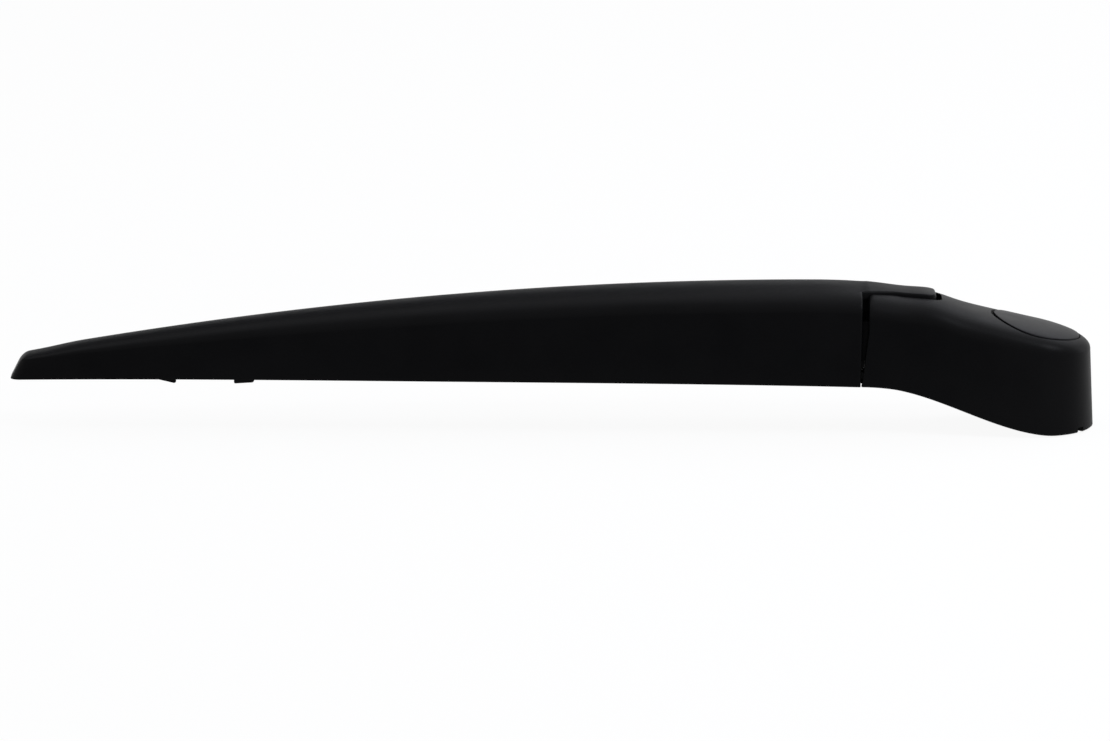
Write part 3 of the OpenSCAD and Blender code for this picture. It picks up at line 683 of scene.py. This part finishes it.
# %% The tree that sets slabs along a line
def rib_tree():
    sizes = ("First", "Pitch", "Thickness", "Width", "Height")
    tree, given = geometry_tree("ribs_at_a_pitch", Float=sizes, Int=("Count",))
    first = add(tree, "ShaderNodeCombineXYZ", {0: given["First"], 2: given["Height"]})
    pitch = add(tree, "ShaderNodeCombineXYZ", {0: given["Pitch"]})
    points = add(
        tree, "GeometryNodeMeshLine",
        {"Count": given["Count"], "Start Location": first, "Offset": pitch},
    )
    size = add(
        tree, "ShaderNodeCombineXYZ", {0: given["Thickness"], 1: given["Width"], 2: given["Height"]}
    )
    slab = add(tree, "GeometryNodeMeshCube", {"Size": size})
    placed = add(tree, "GeometryNodeInstanceOnPoints", {"Points": points, "Instance": slab})
    return close_tree(tree, placed, given["Finish"])


# %% Make the ribs and trim them
def core(floor):
    shape = {**hollow, "Start": -arm_len + 8 * mm, "End": root_x - 20 * mm, "Inset": arm_wall / 2,
             "Floor": floor}
    return made_by("arm_core", arm_by_rule, shape)


ribs = made_by(
    "ribs", rib_tree(),
    {"First": ribs_from, "Pitch": -rib_pitch, "Thickness": rib_t, "Width": arm_w,
     "Height": 30 * mm, "Count": rib_count, "Finish": arm_nylon},
)
combine(ribs, "INTERSECT", [core(rib_clear)])
end_ribs = []
for x, floor in ((ribs_to, 4 * mm), (blade_pin.x - catch_span / 2 - catch_len - 3 * mm, 2 * mm)):
    slab = block("end_rib", (x - rib_t / 2, -arm_w, 0), (x + rib_t / 2, arm_w, back_top_z))
    end_ribs.append(combine(slab, "INTERSECT", [core(floor)]))
middle_x = (ribs_from + ribs_to) / 2
keel_outline = [(ribs_to, arm_sole(ribs_to) + 6 * mm), (ribs_from, arm_sole(ribs_from) + 10 * mm)]
keel_outline += [(x, arm_crest(x) - 1.2 * mm) for x in (ribs_from, middle_x, ribs_to)]
keel = prism("keel_rib", keel_outline, "xz", -rib_t / 2, rib_t / 2)
print(rib_count, "ribs at", round(rib_pitch / mm, 1), "mm")

# %% [markdown]
# ## Tongue and knuckle
# A tongue runs on from the arm's back into a slot in the head, a little proud of it. Below it
# hangs the knuckle that turns on the hinge pin. The tongue's top repeats the head's crown,
# raised by a hair, so its rings take their heights from the head's own rules.

# %% Sizes of the tongue
tongue_root_half = 8.0 * mm
tongue_half = 5.6 * mm
tongue_t = 2.2 * mm
tongue_end_x = pivot.x + 7.7 * mm
tongue_bend_x = pivot.x - 5 * mm
tongue_rise = 0.3 * mm
tongue_sunk, tongue_skin = 0.08 * mm, 0.015 * mm
tongue_corner_r = 3.0 * mm
tongue_edge_r = 0.5 * mm
slot_gap = 0.55 * mm
slot_end_gap = 1.8 * mm

# %% Rings of the tongue
def tongue_top(x, y):
    """Out of the arm's skin at a tiny angle, and from the arm's end on over the head's crown."""
    if x < front_x:
        sunk = tongue_sunk * min(1.0, (root_x - x) / (8 * mm)) if x < root_x else 0.0
        return (
            arm_crest(x) + tongue_skin - sunk - arm_crown(x) * (1 - crown(y / arm_half(x), crown_n))
        )
    rise = tongue_rise * smooth((x - front_x) / (20 * mm))
    return (
        head_crest(x) + flush_step + rise + tongue_skin
        - neck_drop(x) * (1 - crown(y / half_up(x), crown_n))
    )


def tongue_width(x):
    narrowing = min(1.0, max(0.0, tongue_bend_x - x) / (tongue_bend_x - root_x))
    widest = tongue_half + (tongue_root_half - tongue_half) * narrowing
    return widest - round_off(tongue_end_x - x, tongue_corner_r)


def tongue_ring(x):
    width = tongue_width(x)
    end_round = round_off(tongue_end_x - x, 0.8 * mm)
    across = [width * math.sin(math.pi / 2 * j / 14) for j in range(-14, 15)]
    top = [
        (x, y, tongue_top(x, y) - end_round - round_off(width - abs(y), tongue_edge_r))
        for y in across
    ]
    under = [(x, y, tongue_top(x, y) - tongue_t) for y in reversed(across)]
    return top + under


tongue_xs = [root_x - i * mm for i in (8, 6, 4, 3, 2, 1, 0)] + [root_x + joint_gap / 2]
straight = tongue_end_x - tongue_corner_r - front_x
tongue_xs += [front_x + straight * i / 24 for i in range(25)]
tongue_xs += [
    tongue_end_x - tongue_corner_r * (1 - math.sin(math.pi / 2 * i / 12)) for i in range(1, 12)
]
tongue_xs += [tongue_end_x - 0.01 * mm]
tongue = loft("tongue", [tongue_ring(x) for x in tongue_xs])
print("tongue of", len(tongue_xs), "rings")

# %% Knuckle and spring seats
knuckle_r = thickness("hinge_bush_near") / 2
knuckle_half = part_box("hinge_bush_far")[1].y - 0.7 * mm
bush_r = 3.15 * mm
neck_low = pivot.z - knuckle_r + 0.4 * mm
neck_end_x = root_x - 22 * mm
root_back = arm_crest(root_x) - arm_wall
# The neck's far corner goes 1.3 mm into the back, or a pocket would be left under the skin.
neck_outline = [
    (pivot.x, pivot.z),
    (pivot.x - 2 * mm, neck_low),
    (root_x - 12 * mm, neck_low),
    (neck_end_x, root_back - 4 * mm),
    (neck_end_x, root_back + 1.3 * mm),
    (pivot.x, tongue_top(pivot.x, knuckle_half) - 0.8 * mm),
]
neck = prism("neck", neck_outline, "xz", -knuckle_half, knuckle_half)
knuckle = bar("knuckle", knuckle_r, pivot, -knuckle_half, knuckle_half)

seat_top = arm_crest(arm_anchor.x) - arm_crown(arm_anchor.x)
seat_in = arm_half(arm_anchor.x) - arm_wall
seat_from, seat_to = arm_anchor.x - 4.5 * mm, arm_anchor.x + 4.5 * mm
seat_low = arm_anchor.z - 5 * mm
seats = [
    block("seat", (seat_from, low, seat_low), (seat_to, high, seat_top))
    for low, high in both_sides(seat_in - 3.2 * mm, seat_in + 0.8 * mm)
]

# %% [markdown]
# The blade clips on from below, between two pairs of catches that stand out under the walls.
# The pair toward the tip is a wedge that the blade's clip rides over, and the other is a stop.

# %% Blade catches
catch_h = 1.1 * mm
catch_t = 1.7 * mm


def blade_catches(toward_tip):
    start = blade_pin.x - catch_span / 2 - catch_len if toward_tip else blade_pin.x + catch_span / 2
    end = start + catch_len
    root = arm_sole(start) + 1.5 * mm
    foot = arm_sole(start) - catch_h
    if toward_tip:
        outline = [(start, foot + catch_h + 0.2 * mm), (end - 0.5 * mm, foot),
                   (end, foot + 0.3 * mm)]
    else:
        outline = [(start, foot + 0.3 * mm), (start + 0.3 * mm, foot),
                   (end - 0.4 * mm, foot + 0.3 * mm), (end, foot + 0.7 * mm)]
    outline += [(end, root), (start, root)]
    outside = arm_half(start) - 0.25 * mm
    return [prism("catch", outline, "xz", *span) for span in both_sides(outside - catch_t, outside)]


catches = blade_catches(True) + blade_catches(False)

# %% Put the arm together
anchor_half = arm_half(arm_anchor.x) - 1.2 * mm
blade_half = arm_half(blade_pin.x) - 0.9 * mm
anchor_r = thickness("arm_anchor_pin") / 2
snap_half = anchor_r - 0.3 * mm
blade_pin_r = thickness("blade_pin") / 2
combine(arm, "DIFFERENCE", [arm_hollow])
combine(arm, "UNION", [tongue, neck, knuckle, *seats, ribs, *end_ribs, keel, *catches])
combine(arm, "DIFFERENCE", [
    bar("bush_bore", bush_r, pivot, -arm_w, arm_w),
    bar("anchor_bore", anchor_r, arm_anchor, -anchor_half, anchor_half),
    block("snap_slot", (arm_anchor.x - snap_half, 0.8 * mm - anchor_half, arm_anchor.z - 8 * mm),
          (arm_anchor.x + snap_half, anchor_half - 0.8 * mm, arm_anchor.z)),
    bar("blade_bore", blade_pin_r, blade_pin, -blade_half, blade_half),
])
finish_piece(arm, arm_nylon, "arm", ["arm_shell"])

# %% [markdown]
# ## The pivot head
# The head starts as a straight-sided neck as wide as the arm and ends in a round boss. Its
# plan is one open line from the near front corner, round the boss, to the far front corner.
# The same line is repeated up the wall and then drawn in over the crown, ring by ring.

# %% The head's plan line
def neck_stop(x, side, front, grow):
    return {"low": (x, side * (half_low(x) + grow)), "up": (x, side * (half_up(x) + grow)),
            "drop": neck_drop(x), "n": head_n(x), "from_front": x - front, "boss": False}


def boss_stop(angle, grow):
    c, s = math.cos(angle), math.sin(angle)
    low, up = head_r + grow, head_r - head_draft + grow
    return {"low": (low * c, low * s), "up": (up * c, up * s), "drop": boss_drop(angle),
            "n": boss_n, "from_front": head_front, "boss": True}


def plan_line(front, grow, stations, turn_steps):
    xs = [front + front_edge_r * (1 - math.cos(math.pi / 2 * i / 7)) for i in range(7)]
    run = -front - front_edge_r
    xs += [front + front_edge_r + run * i / stations for i in range(stations)]
    near = [neck_stop(x, -1, front, grow) for x in xs]
    far = [neck_stop(x, 1, front, grow) for x in reversed(xs)]
    boss = [boss_stop(math.pi * (i / turn_steps - 0.5), grow) for i in range(turn_steps + 1)]
    return near + boss + far


# %% Rings up the wall and over the crown
def lean_at(z):
    return 0.0 if z > knee_z else -front_lean * (knee_z - z) / (knee_z - rim_rise)


def placed(stop, x, y, z, shaped, share=1.0):
    """A point with the lean and the rounded edge of the head's front."""
    if not shaped:
        return (x, y, z)
    near_front = max(0.0, 1 - stop["from_front"] / (8 * mm))
    squeeze = round_off(stop["from_front"], edge_r) * share
    return (x + lean_at(z) * near_front, y - math.copysign(squeeze, y), z)


def wall_point(stop, share, sink, below, shaped, tuck=0.0):
    (x0, y0), (x1, y1) = stop["low"], stop["up"]
    foot = head_rim(x0) - below
    z = foot + (head_crest(x1) - stop["drop"] - sink - foot) * share
    x, y = x0 + (x1 - x0) * share, y0 + (y1 - y0) * share
    if stop["boss"]:
        x *= 1 - tuck / head_r
    return placed(stop, x, y * (1 - tuck / abs(y)) if abs(y) > tuck else y, z, shaped)


def crown_point(stop, turn, centre_share, sink, shaped):
    share = math.cos(turn) ** (2 / stop["n"]) * centre_share
    height = crown(share, stop["n"])
    x, y = stop["up"]
    if stop["boss"]:
        x *= share
    cut = height * round_off(stop["from_front"], front_edge_r) if shaped else 0.0
    z = head_crest(x) - stop["drop"] * (1 - height) - sink - cut
    return placed(stop, x, y * share, z, shaped, share)


def head_form(name, front, grow, sink=0.0, below=0.0, shaped=True, stations=34, turn_steps=72):
    line = plan_line(front, grow, stations, turn_steps)
    foot = 0.35 * mm if shaped else 0.0
    rings = [[wall_point(s, 0, sink, below, shaped, foot) for s in line]]
    for share in (0.015, 0.2, 0.4, 0.6, 0.8, 0.94, 1.0):
        rings.append([wall_point(s, share, sink, below, shaped) for s in line])
    turns = [math.radians(a) for a in range(4, 70, 4)]
    rings += [[crown_point(s, t, 1.0, sink, shaped) for s in line] for t in turns]
    for i in range(1, 9):
        rings.append([crown_point(s, turns[-1], 1 - i / 9, sink, shaped) for s in line])
    return loft(name, rings, strips=True)


head = head_form("head_moulding", front_x, 0.0)
print("head form:", len(head.data.polygons), "faces")

# %% [markdown]
# ## Inside the head
# The hollow is the same form, set in by the wall. Two ears carry the hinge pin and the
# spring's anchor pin, a ring stands under the cap, and a block holds the metal hub. These are
# left standing when the hollow is cut, so that every wall runs into its neighbour.

# %% Sizes inside the head
ear_in = 6.2 * mm
ear_t = 2.2 * mm
well_r = 11.2 * mm
hub_r = (hub_high.x - hub_low.x) / 2
recess_r = hub_r + 3.0 * mm
hub_top = hub_high.z
hub_grip = hub_top - 1.5 * mm
cap_gap = 0.6 * mm
pried = (-0.25 * mm, 0.4 * mm)
cap_t = 2.2 * mm
ledge = cap_t + 0.3 * mm
lip_r = 0.15 * mm

# %% Ears, well wall and hub block
def hull_outline(circles, extra):
    """The line round several circles and points, in the XZ plane."""
    points = [(x + u, z + v) for x, z, r in circles for u, v in circle(r, 60)] + extra
    return [points[i] for i in convex_hull_2d(points)]


ear_outline = hull_outline(
    [(pivot.x, pivot.z, knuckle_r), (head_anchor.x, head_anchor.z, anchor_r + 1.6 * mm)],
    [(-well_r - i * mm, z) for i in (1, 3) for z in (hub_top, pivot.z - 3 * mm)],
)
high_up = 40 * mm
block_r = head_r - head_draft
boss_ends = both_sides(ear_in, arm_w / 2 - head_wall + 1 * mm)
inside = [prism("ear", ear_outline, "xz", *ends) for ends in both_sides(ear_in, ear_in + ear_t)]
inside += [bar("pin_boss", knuckle_r, pivot, *ends) for ends in boss_ends]
inside += [
    turned("well_wall", [(well_r + 2 * mm, 0), (well_r + 2 * mm, high_up)]),
    turned("hub_block", [(block_r, hub_low.z + 2 * mm), (block_r, hub_grip + 0.01 * mm)]),
    block("neck_floor", (front_x + 22 * mm, -ear_in - ear_t, hub_low.z + 2.01 * mm),
          (0, ear_in + ear_t, hub_grip)),
]
cap_seat = turned("cap_seat", [(head_r, hub_top - 10 * mm), (head_r, high_up)])

# %% [markdown]
# Thin guides reach from the head into the arm, just inside its walls, and keep the two in
# line: a long one and a short one on each side, with a sliver of light between them. A small
# pad on each side of the head's front edge stops the arm's lower corner.

# %% Guides and stop pads
guide_reach = 4.5 * mm
guide_t = 1.6 * mm
guide_clear = 0.4 * mm
guide_low = 22 * mm
guide_high = pivot.z - 1 * mm
pad_low, pad_h = 16.9 * mm, 1.9 * mm
low_guide = {-1: (15.0 * mm, 19.2 * mm), 1: (16.2 * mm, 18.4 * mm)}
pad_gap = 0.15 * mm


def arm_end_x(z):
    return root_x - root_lean * (1 - (z - arm_sole(root_x)) / root_height)


def guides():
    outer = arm_w / 2 - arm_wall - guide_clear
    inner, root_y = outer - guide_t, arm_w / 2 - 1 * mm
    tip, root, back = front_x - guide_reach, front_x + 2 * mm, front_x + 4 * mm
    plan = [(tip, outer - 0.5 * mm), (tip + 1.5 * mm, outer), (root, outer), (root, root_y),
            (back, root_y), (back, inner), (tip + 0.5 * mm, inner), (tip, inner + 0.5 * mm)]
    stop_x = arm_end_x(pad_low) + pad_gap
    made = []
    for side in (-1, 1):
        for low, high in ((guide_low, guide_high), low_guide[side]):
            made.append(prism("guide", [(x, side * y) for x, y in plan], "xy", low, high))
    for low, high in both_sides(arm_w / 2 - head_wall + 0.6 * mm, arm_w / 2 - 0.6 * mm):
        made.append(block("pad", (stop_x, low, pad_low), (front_x + 1 * mm, high, pad_low + pad_h)))
    return made


hollow_form = head_form(
    "head_hollow", front_x - 6 * mm, -head_wall, head_roof, below=3 * mm, shaped=False,
    stations=24, turn_steps=60,
)
combine(hollow_form, "DIFFERENCE", [*inside, cap_seat, *guides()])
combine(head, "UNION", guides())
combine(head, "DIFFERENCE", [hollow_form])

# %% [markdown]
# The cap's opening follows the crown, so its cutter does too: rings at an even depth under
# the surface, flaring at the top into a small round edge that catches the light. The opening
# lies a hair off the cap's middle, so that the groove is widest where a blade pries the cap out.

# %% Cut the opening, the well, the slot and the bores
def ring_under(r, depth, centre=(0.0, 0.0)):
    points = [(centre[0] + u, centre[1] + v) for u, v in circle(r)]
    return [(x, y, head_top(x, y) - depth) for x, y in points]


open_r = cap_r + cap_gap
quarter = [(math.cos(t), math.sin(t)) for t in (math.pi / 2 * step / 6 for step in range(1, 7))]
opening = [ring_under(open_r, ledge, pried), ring_under(open_r, lip_r, pried)]
opening += [ring_under(open_r + lip_r * (1 - c), lip_r * (1 - s), pried) for c, s in quarter]
opening.append(ring_under(open_r + lip_r, -6 * mm, pried))

slot_half, slot_r = tongue_half + slot_gap, tongue_corner_r + slot_gap
slot_end = tongue_end_x + slot_end_gap
corner = [math.radians(a) for a in range(-90, 1, 10)]
slot_outline = [(root_x - 2 * mm, -tongue_root_half - slot_gap), (tongue_bend_x, -slot_half)]
slot_outline += [
    (slot_end - slot_r * (1 - math.cos(a)), -slot_half + slot_r * (1 + math.sin(a))) for a in corner
]
slot_outline += [(x, -y) for x, y in reversed(slot_outline)]

drain_from, drain_to, drain_half, drain_h = 13.8 * mm, 18.2 * mm, 1.3 * mm, 1.5 * mm
drain_turn = math.radians(-41)
c, s = math.cos(drain_turn), math.sin(drain_turn)
drain_outline = [
    (u * c - v * s, u * s + v * c)
    for u, v in ((drain_from, -drain_half), (drain_to, -drain_half),
                 (drain_to, drain_half), (drain_from, drain_half))
]
pin_r = thickness("hinge_pin") / 2
head_anchor_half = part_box("head_anchor_pin")[1].y
combine(head, "DIFFERENCE", [
    loft("opening", opening),
    turned("well", [(well_r, hub_grip), (well_r, high_up)]),
    turned("recess", [(recess_r + 0.6 * mm, -1 * mm), (recess_r, 0.5 * mm), (recess_r, hub_low.z)]),
    turned("hub_seat", [(hub_r, hub_low.z - 1 * mm), (hub_r, high_up)]),
    prism("slot", slot_outline, "xy", pivot.z + 1 * mm, pivot.z + 20 * mm),
    bar("pin_bore", pin_r, pivot, -ear_in - ear_t - 1 * mm, arm_w),
    bar("anchor_bore", anchor_r, head_anchor, -head_anchor_half, head_anchor_half),
    prism("drain", drain_outline, "xy", -1 * mm, drain_h),
])
finish_piece(head, head_nylon, "head", ["pivot_head"])

# %% [markdown]
# ## The nut cap
# A round cap hides the nut. Its top is cut from the same crown as the head, with a small
# round edge, and a ring underneath snaps into the well.

# %% Cap by rings
cap_edge_r = 0.2 * mm
cap_proud = 0.25 * mm
ring_out = well_r - 0.3 * mm
ring_in = ring_out - 1.4 * mm
ring_foot = boss_top_z - 2 * cap_t - 5 * mm


def flat_ring(r, z):
    return [(x, y, z) for x, y in circle(r)]


cap_rings = [ring_under((cap_r - cap_edge_r) * max(i, 0.2) / 16, -cap_proud) for i in range(17)]
cap_rings += [
    ring_under(cap_r - cap_edge_r * (1 - s), cap_edge_r * (1 - c) - cap_proud) for c, s in quarter
]
cap_rings += [ring_under(cap_r, cap_t), ring_under(ring_out, cap_t)]
cap_rings += [flat_ring(ring_out, ring_foot + 0.5 * mm), flat_ring(ring_out - 0.4 * mm, ring_foot)]
cap_rings += [flat_ring(ring_in + 0.3 * mm, ring_foot), flat_ring(ring_in, ring_foot + 0.3 * mm)]
cap_rings += [ring_under(ring_in * (1 - i / 8.2), cap_t) for i in range(9)]
cap = loft("nut_cap_moulding", cap_rings)
finish_piece(cap, cap_nylon, "cap", ["nut_cap"])

# %% [markdown]
# ## Hub, pins and bushes
# These are turned parts. Each gets the chamfers that let it be pressed in, because a sharp
# edge would shave the plastic.

# %% Hub with its bore
bore_r = 4.7 * mm
hub = turned("spindle_hub_casting", [
    (hub_r - 0.5 * mm, hub_low.z), (hub_r, hub_low.z + 0.5 * mm),
    (hub_r, hub_top - 0.5 * mm), (hub_r - 0.5 * mm, hub_top),
])
bore = turned("bore", [
    (bore_r + 1.0 * mm, hub_low.z - 0.2 * mm), (bore_r, hub_low.z + 0.8 * mm),
    (bore_r, hub_top + 1 * mm),
])
combine(hub, "DIFFERENCE", [bore])
finish_piece(hub, cast_zinc, "head", ["spindle_hub"])

# %% Pins
for node, body, bevel in (
    ("hinge_pin", "head", 0.4 * mm), ("head_anchor_pin", "head", 0.3 * mm),
    ("arm_anchor_pin", "arm", 0.3 * mm), ("blade_pin", "arm", 0.3 * mm),
):
    low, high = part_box(node)
    pin = bar(node + "_turned", thickness(node) / 2, middle(node), low.y, high.y, bevel)
    finish_piece(pin, pin_steel, body, [node])

# %% Flanged bushes
flange_t = 0.7 * mm
sleeve_r, flange_r = bush_r - 0.01 * mm, knuckle_r - 0.01 * mm
for side, node in ((-1, "hinge_bush_near"), (1, "hinge_bush_far")):
    low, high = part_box(node)
    inner_end, face = (low.y, high.y) if side > 0 else (high.y, low.y)
    step_y = face - side * flange_t
    bush = turned(node + "_turned", [
        (sleeve_r, inner_end), (sleeve_r, step_y), (flange_r, step_y),
        (flange_r, face - side * 0.2 * mm), (knuckle_r - 0.2 * mm, face),
    ], (pivot.x, 0, pivot.z), "y", 64)
    combine(bush, "DIFFERENCE", [bar("bore", pin_r + 0.05 * mm, pivot, -arm_w, arm_w)])
    finish_piece(bush, bush_acetal, "arm", [node])

# %% [markdown]
# ## The spring and its hook
# The spring is drawn wire: a loop round the arm's pin, a close coil, and a loop through the
# eye of the hook. A tree sweeps a round section along that one path. When the arm is lifted
# the hook is drawn out of the arm and the real spring bends and stretches; here the wire is one
# fixed mesh that moves with neither body.

# %% The path of the wire
wire_r = 0.8 * mm
coil_r = 3.7 * mm
coil_turns = 20
coil_len = 44 * mm
lead = 4.5 * mm
loop_r = anchor_r + wire_r + 0.15 * mm
eye_x = head_anchor.x - 16 * mm
coil_start = arm_anchor.x + loop_r + lead


def loop_path(x, degrees):
    turns = [math.radians(a) for a in degrees]
    return [(x + loop_r * math.cos(a), 0.0, arm_anchor.z + loop_r * math.sin(a)) for a in turns]


def coil_point(turn):
    a = math.pi / 2 + 2 * math.pi * turn
    x = coil_start + coil_len * turn / coil_turns
    return (x, coil_r * math.cos(a), arm_anchor.z + coil_r * math.sin(a))


wire_path = loop_path(arm_anchor.x, range(50, 341, 12))
wire_path += [coil_point(i / 24) for i in range(24 * coil_turns + 1)]
wire_path += loop_path(eye_x - loop_r, range(-160, 131, 12))

# %% The tree that sweeps the wire
def wire_tree():
    tree, given = geometry_tree(
        "wire_along_a_path", Geometry=("Path",), Float=("Radius",), Int=("Sides",)
    )
    path = add(tree, "GeometryNodeMeshToCurve", {"Mesh": given["Path"]})
    section = add(
        tree, "GeometryNodeCurvePrimitiveCircle",
        {"Resolution": given["Sides"], "Radius": given["Radius"]},
    )
    wire = add(
        tree, "GeometryNodeCurveToMesh",
        {"Curve": path, "Profile Curve": section, "Fill Caps": True},
    )
    return close_tree(tree, wire, given["Finish"])


path_mesh = bpy.data.meshes.new("wire_path")
path_mesh.from_pydata(wire_path, [(i, i + 1) for i in range(len(wire_path) - 1)], [])
wire_sizes = {"Radius": wire_r, "Sides": 12, "Finish": spring_steel}
spring = made_by("tension_spring_wire", wire_tree(), wire_sizes, path_mesh)
finish_piece(spring, spring_steel, None, ["tension_spring"], 60)
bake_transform(spring)

# %% The hook stays as the CAD node, with a pressed-steel finish
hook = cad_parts["spring_hook"]
hook.data.materials.clear()
hook.data.materials.append(strap_steel)

# %% [markdown]
# ## Camera
# The photograph was taken level with the arm and a little above it, with a long lens. At
# 2.5 m a 270 mm lens gives 0.30 mm to a pixel, which is the scale of the photograph.

# %% Camera
camera_data = bpy.data.cameras.new("camera")
camera = show("camera", camera_data)
elevation = math.radians(12.7)
distance = 2.5
photo_width = 1110 * 0.30 * mm
camera_data.lens = camera_data.sensor_width * distance / photo_width
target = Vector((-144.3 * mm, 0, 16.4 * mm))
toward_camera = Vector((0, -math.cos(elevation), math.sin(elevation)))
camera.location = target + toward_camera * distance
camera.rotation_euler = (math.pi / 2 - elevation, 0, 0)
camera_data.clip_start, camera_data.clip_end = 0.05, 50
bpy.context.scene.camera = camera
print("lens", round(camera_data.lens, 1), "mm")

# %% [markdown]
# ## Floor, background and light
# The photograph shows the arm on pure white. The floor and the world are white to the camera
# and to reflections, so no more light is needed on the object. The floor keeps a trace of
# the object's shadow. From below it lets the camera through.

# %% Floor
def sheet(name, corners, material):
    """A flat face for the setting round the arm, not a part of the arm."""
    mesh = bpy.data.meshes.new(name)
    mesh.from_pydata(corners, [], [(0, 1, 2, 3)])
    mesh.materials.append(material)
    obj = show(name, mesh)
    return obj


def seen_by_camera(tree):
    """1 for rays from the camera, also by way of a reflection or a clear thing, and 0 else."""
    paths = add(tree, "ShaderNodeLightPath").outputs
    seen = paths["Is Camera Ray"]
    for kind in ("Is Glossy Ray", "Is Transmission Ray"):
        seen = add(tree, "ShaderNodeMath", {0: seen, 1: paths[kind]}, operation="MAXIMUM")
    return seen


floor_white, tree = empty_material("floor_white")
paint = add(tree, "ShaderNodeBsdfDiffuse", {"Color": colour("#e6e6e6")})
glow = add(tree, "ShaderNodeEmission", {"Color": colour("#ffffff"), "Strength": 1.0})
glow_share = add(tree, "ShaderNodeMath", {0: seen_by_camera(tree), 1: 0.93}, operation="MULTIPLY")
lit = add(tree, "ShaderNodeMixShader", {0: glow_share, 1: paint, 2: glow})
through = add(tree, "ShaderNodeBsdfTransparent")
back = add(tree, "ShaderNodeNewGeometry").outputs["Backfacing"]
both = add(tree, "ShaderNodeMixShader", {0: back, 1: lit, 2: through})
add(tree, "ShaderNodeOutputMaterial", {"Surface": both})
half, floor_z = 6.0, -0.5 * mm
corners = ((-half, -half), (half, -half), (half, half), (-half, half))
sheet("floor", [(x, y, floor_z) for x, y in corners], floor_white)

# %% World
world = bpy.data.worlds.new("studio")
bpy.context.scene.world = world
world.use_nodes = True
tree = world.node_tree
tree.nodes.clear()
room = add(tree, "ShaderNodeBackground", {"Color": colour("#f0f2f6"), "Strength": 0.6})
white = add(tree, "ShaderNodeBackground", {"Color": colour("#ffffff"), "Strength": 1.0})
mixed = add(tree, "ShaderNodeMixShader", {0: seen_by_camera(tree), 1: room, 2: white})
add(tree, "ShaderNodeOutputWorld", {"Surface": mixed})

# %% [markdown]
# Four soft lamps light the arm: a large one overhead, one behind the head, a strip past its
# end and a small one on the near side, which lightens the round shoulder of the boss.

# %% Lamps
def soft_lamp(name, place, aim, size, power, tint):
    data = bpy.data.lights.new(name, "AREA")
    data.shape = "RECTANGLE"
    data.size, data.size_y = size
    data.energy = power
    data.color = colour(tint)[:3]
    lamp = show(name, data)
    lamp.location = place
    lamp.rotation_euler = (Vector(aim) - Vector(place)).to_track_quat("-Z", "Y").to_euler()


over_arm, over_head, low_head = (-0.14, 0, 0.03), (0, 0, 0.03), (0, 0, 0.02)
soft_lamp("overhead", (-0.14, 0.1, 1.3), over_arm, (1.6, 0.9), 5, "#f4f6ff")
soft_lamp("rear_softbox", (0.40, 0.62, 0.78), over_head, (0.8, 0.6), 3, "#f2f5ff")
soft_lamp("end_strip", (1.1, 0.5, 0.35), low_head, (0.3, 0.9), 2, "#f4f6ff")
soft_lamp("side_softbox", (0.55, -0.42, 0.85), over_head, (0.35, 0.35), 6, "#f2f5ff")
print(len(bpy.data.lights), "lamps")

# %% [markdown]
# Black plastic shows little but what it mirrors, so a photographer sets dark cards where its
# sides would mirror white. One lies in front of the arm and one stands behind it. Only glossy
# rays meet them: they throw no shadow and the camera never sees them.

# %% Two dark cards for the reflections
card_paint, tree = empty_material("grey_card")
grey = add(tree, "ShaderNodeBsdfDiffuse", {"Color": colour("#808080")})
add(tree, "ShaderNodeOutputMaterial", {"Surface": grey})
standing = [(x, 0.8, z) for x, z in ((-1.6, 0.17), (0.02, 0.17), (0.02, 1.1), (-1.6, 1.1))]
lying = [(x, y, 0.001) for x, y in ((-0.8, -1.5), (0.0, -1.5), (0.0, -0.06), (-0.8, -0.06))]
for name, corners in (("card_behind", standing), ("card_in_front", lying)):
    card = sheet(name, corners, card_paint)
    card.visible_camera = card.visible_diffuse = False
    card.visible_transmission = card.visible_shadow = False

bpy.context.scene.view_settings.view_transform = "Standard"
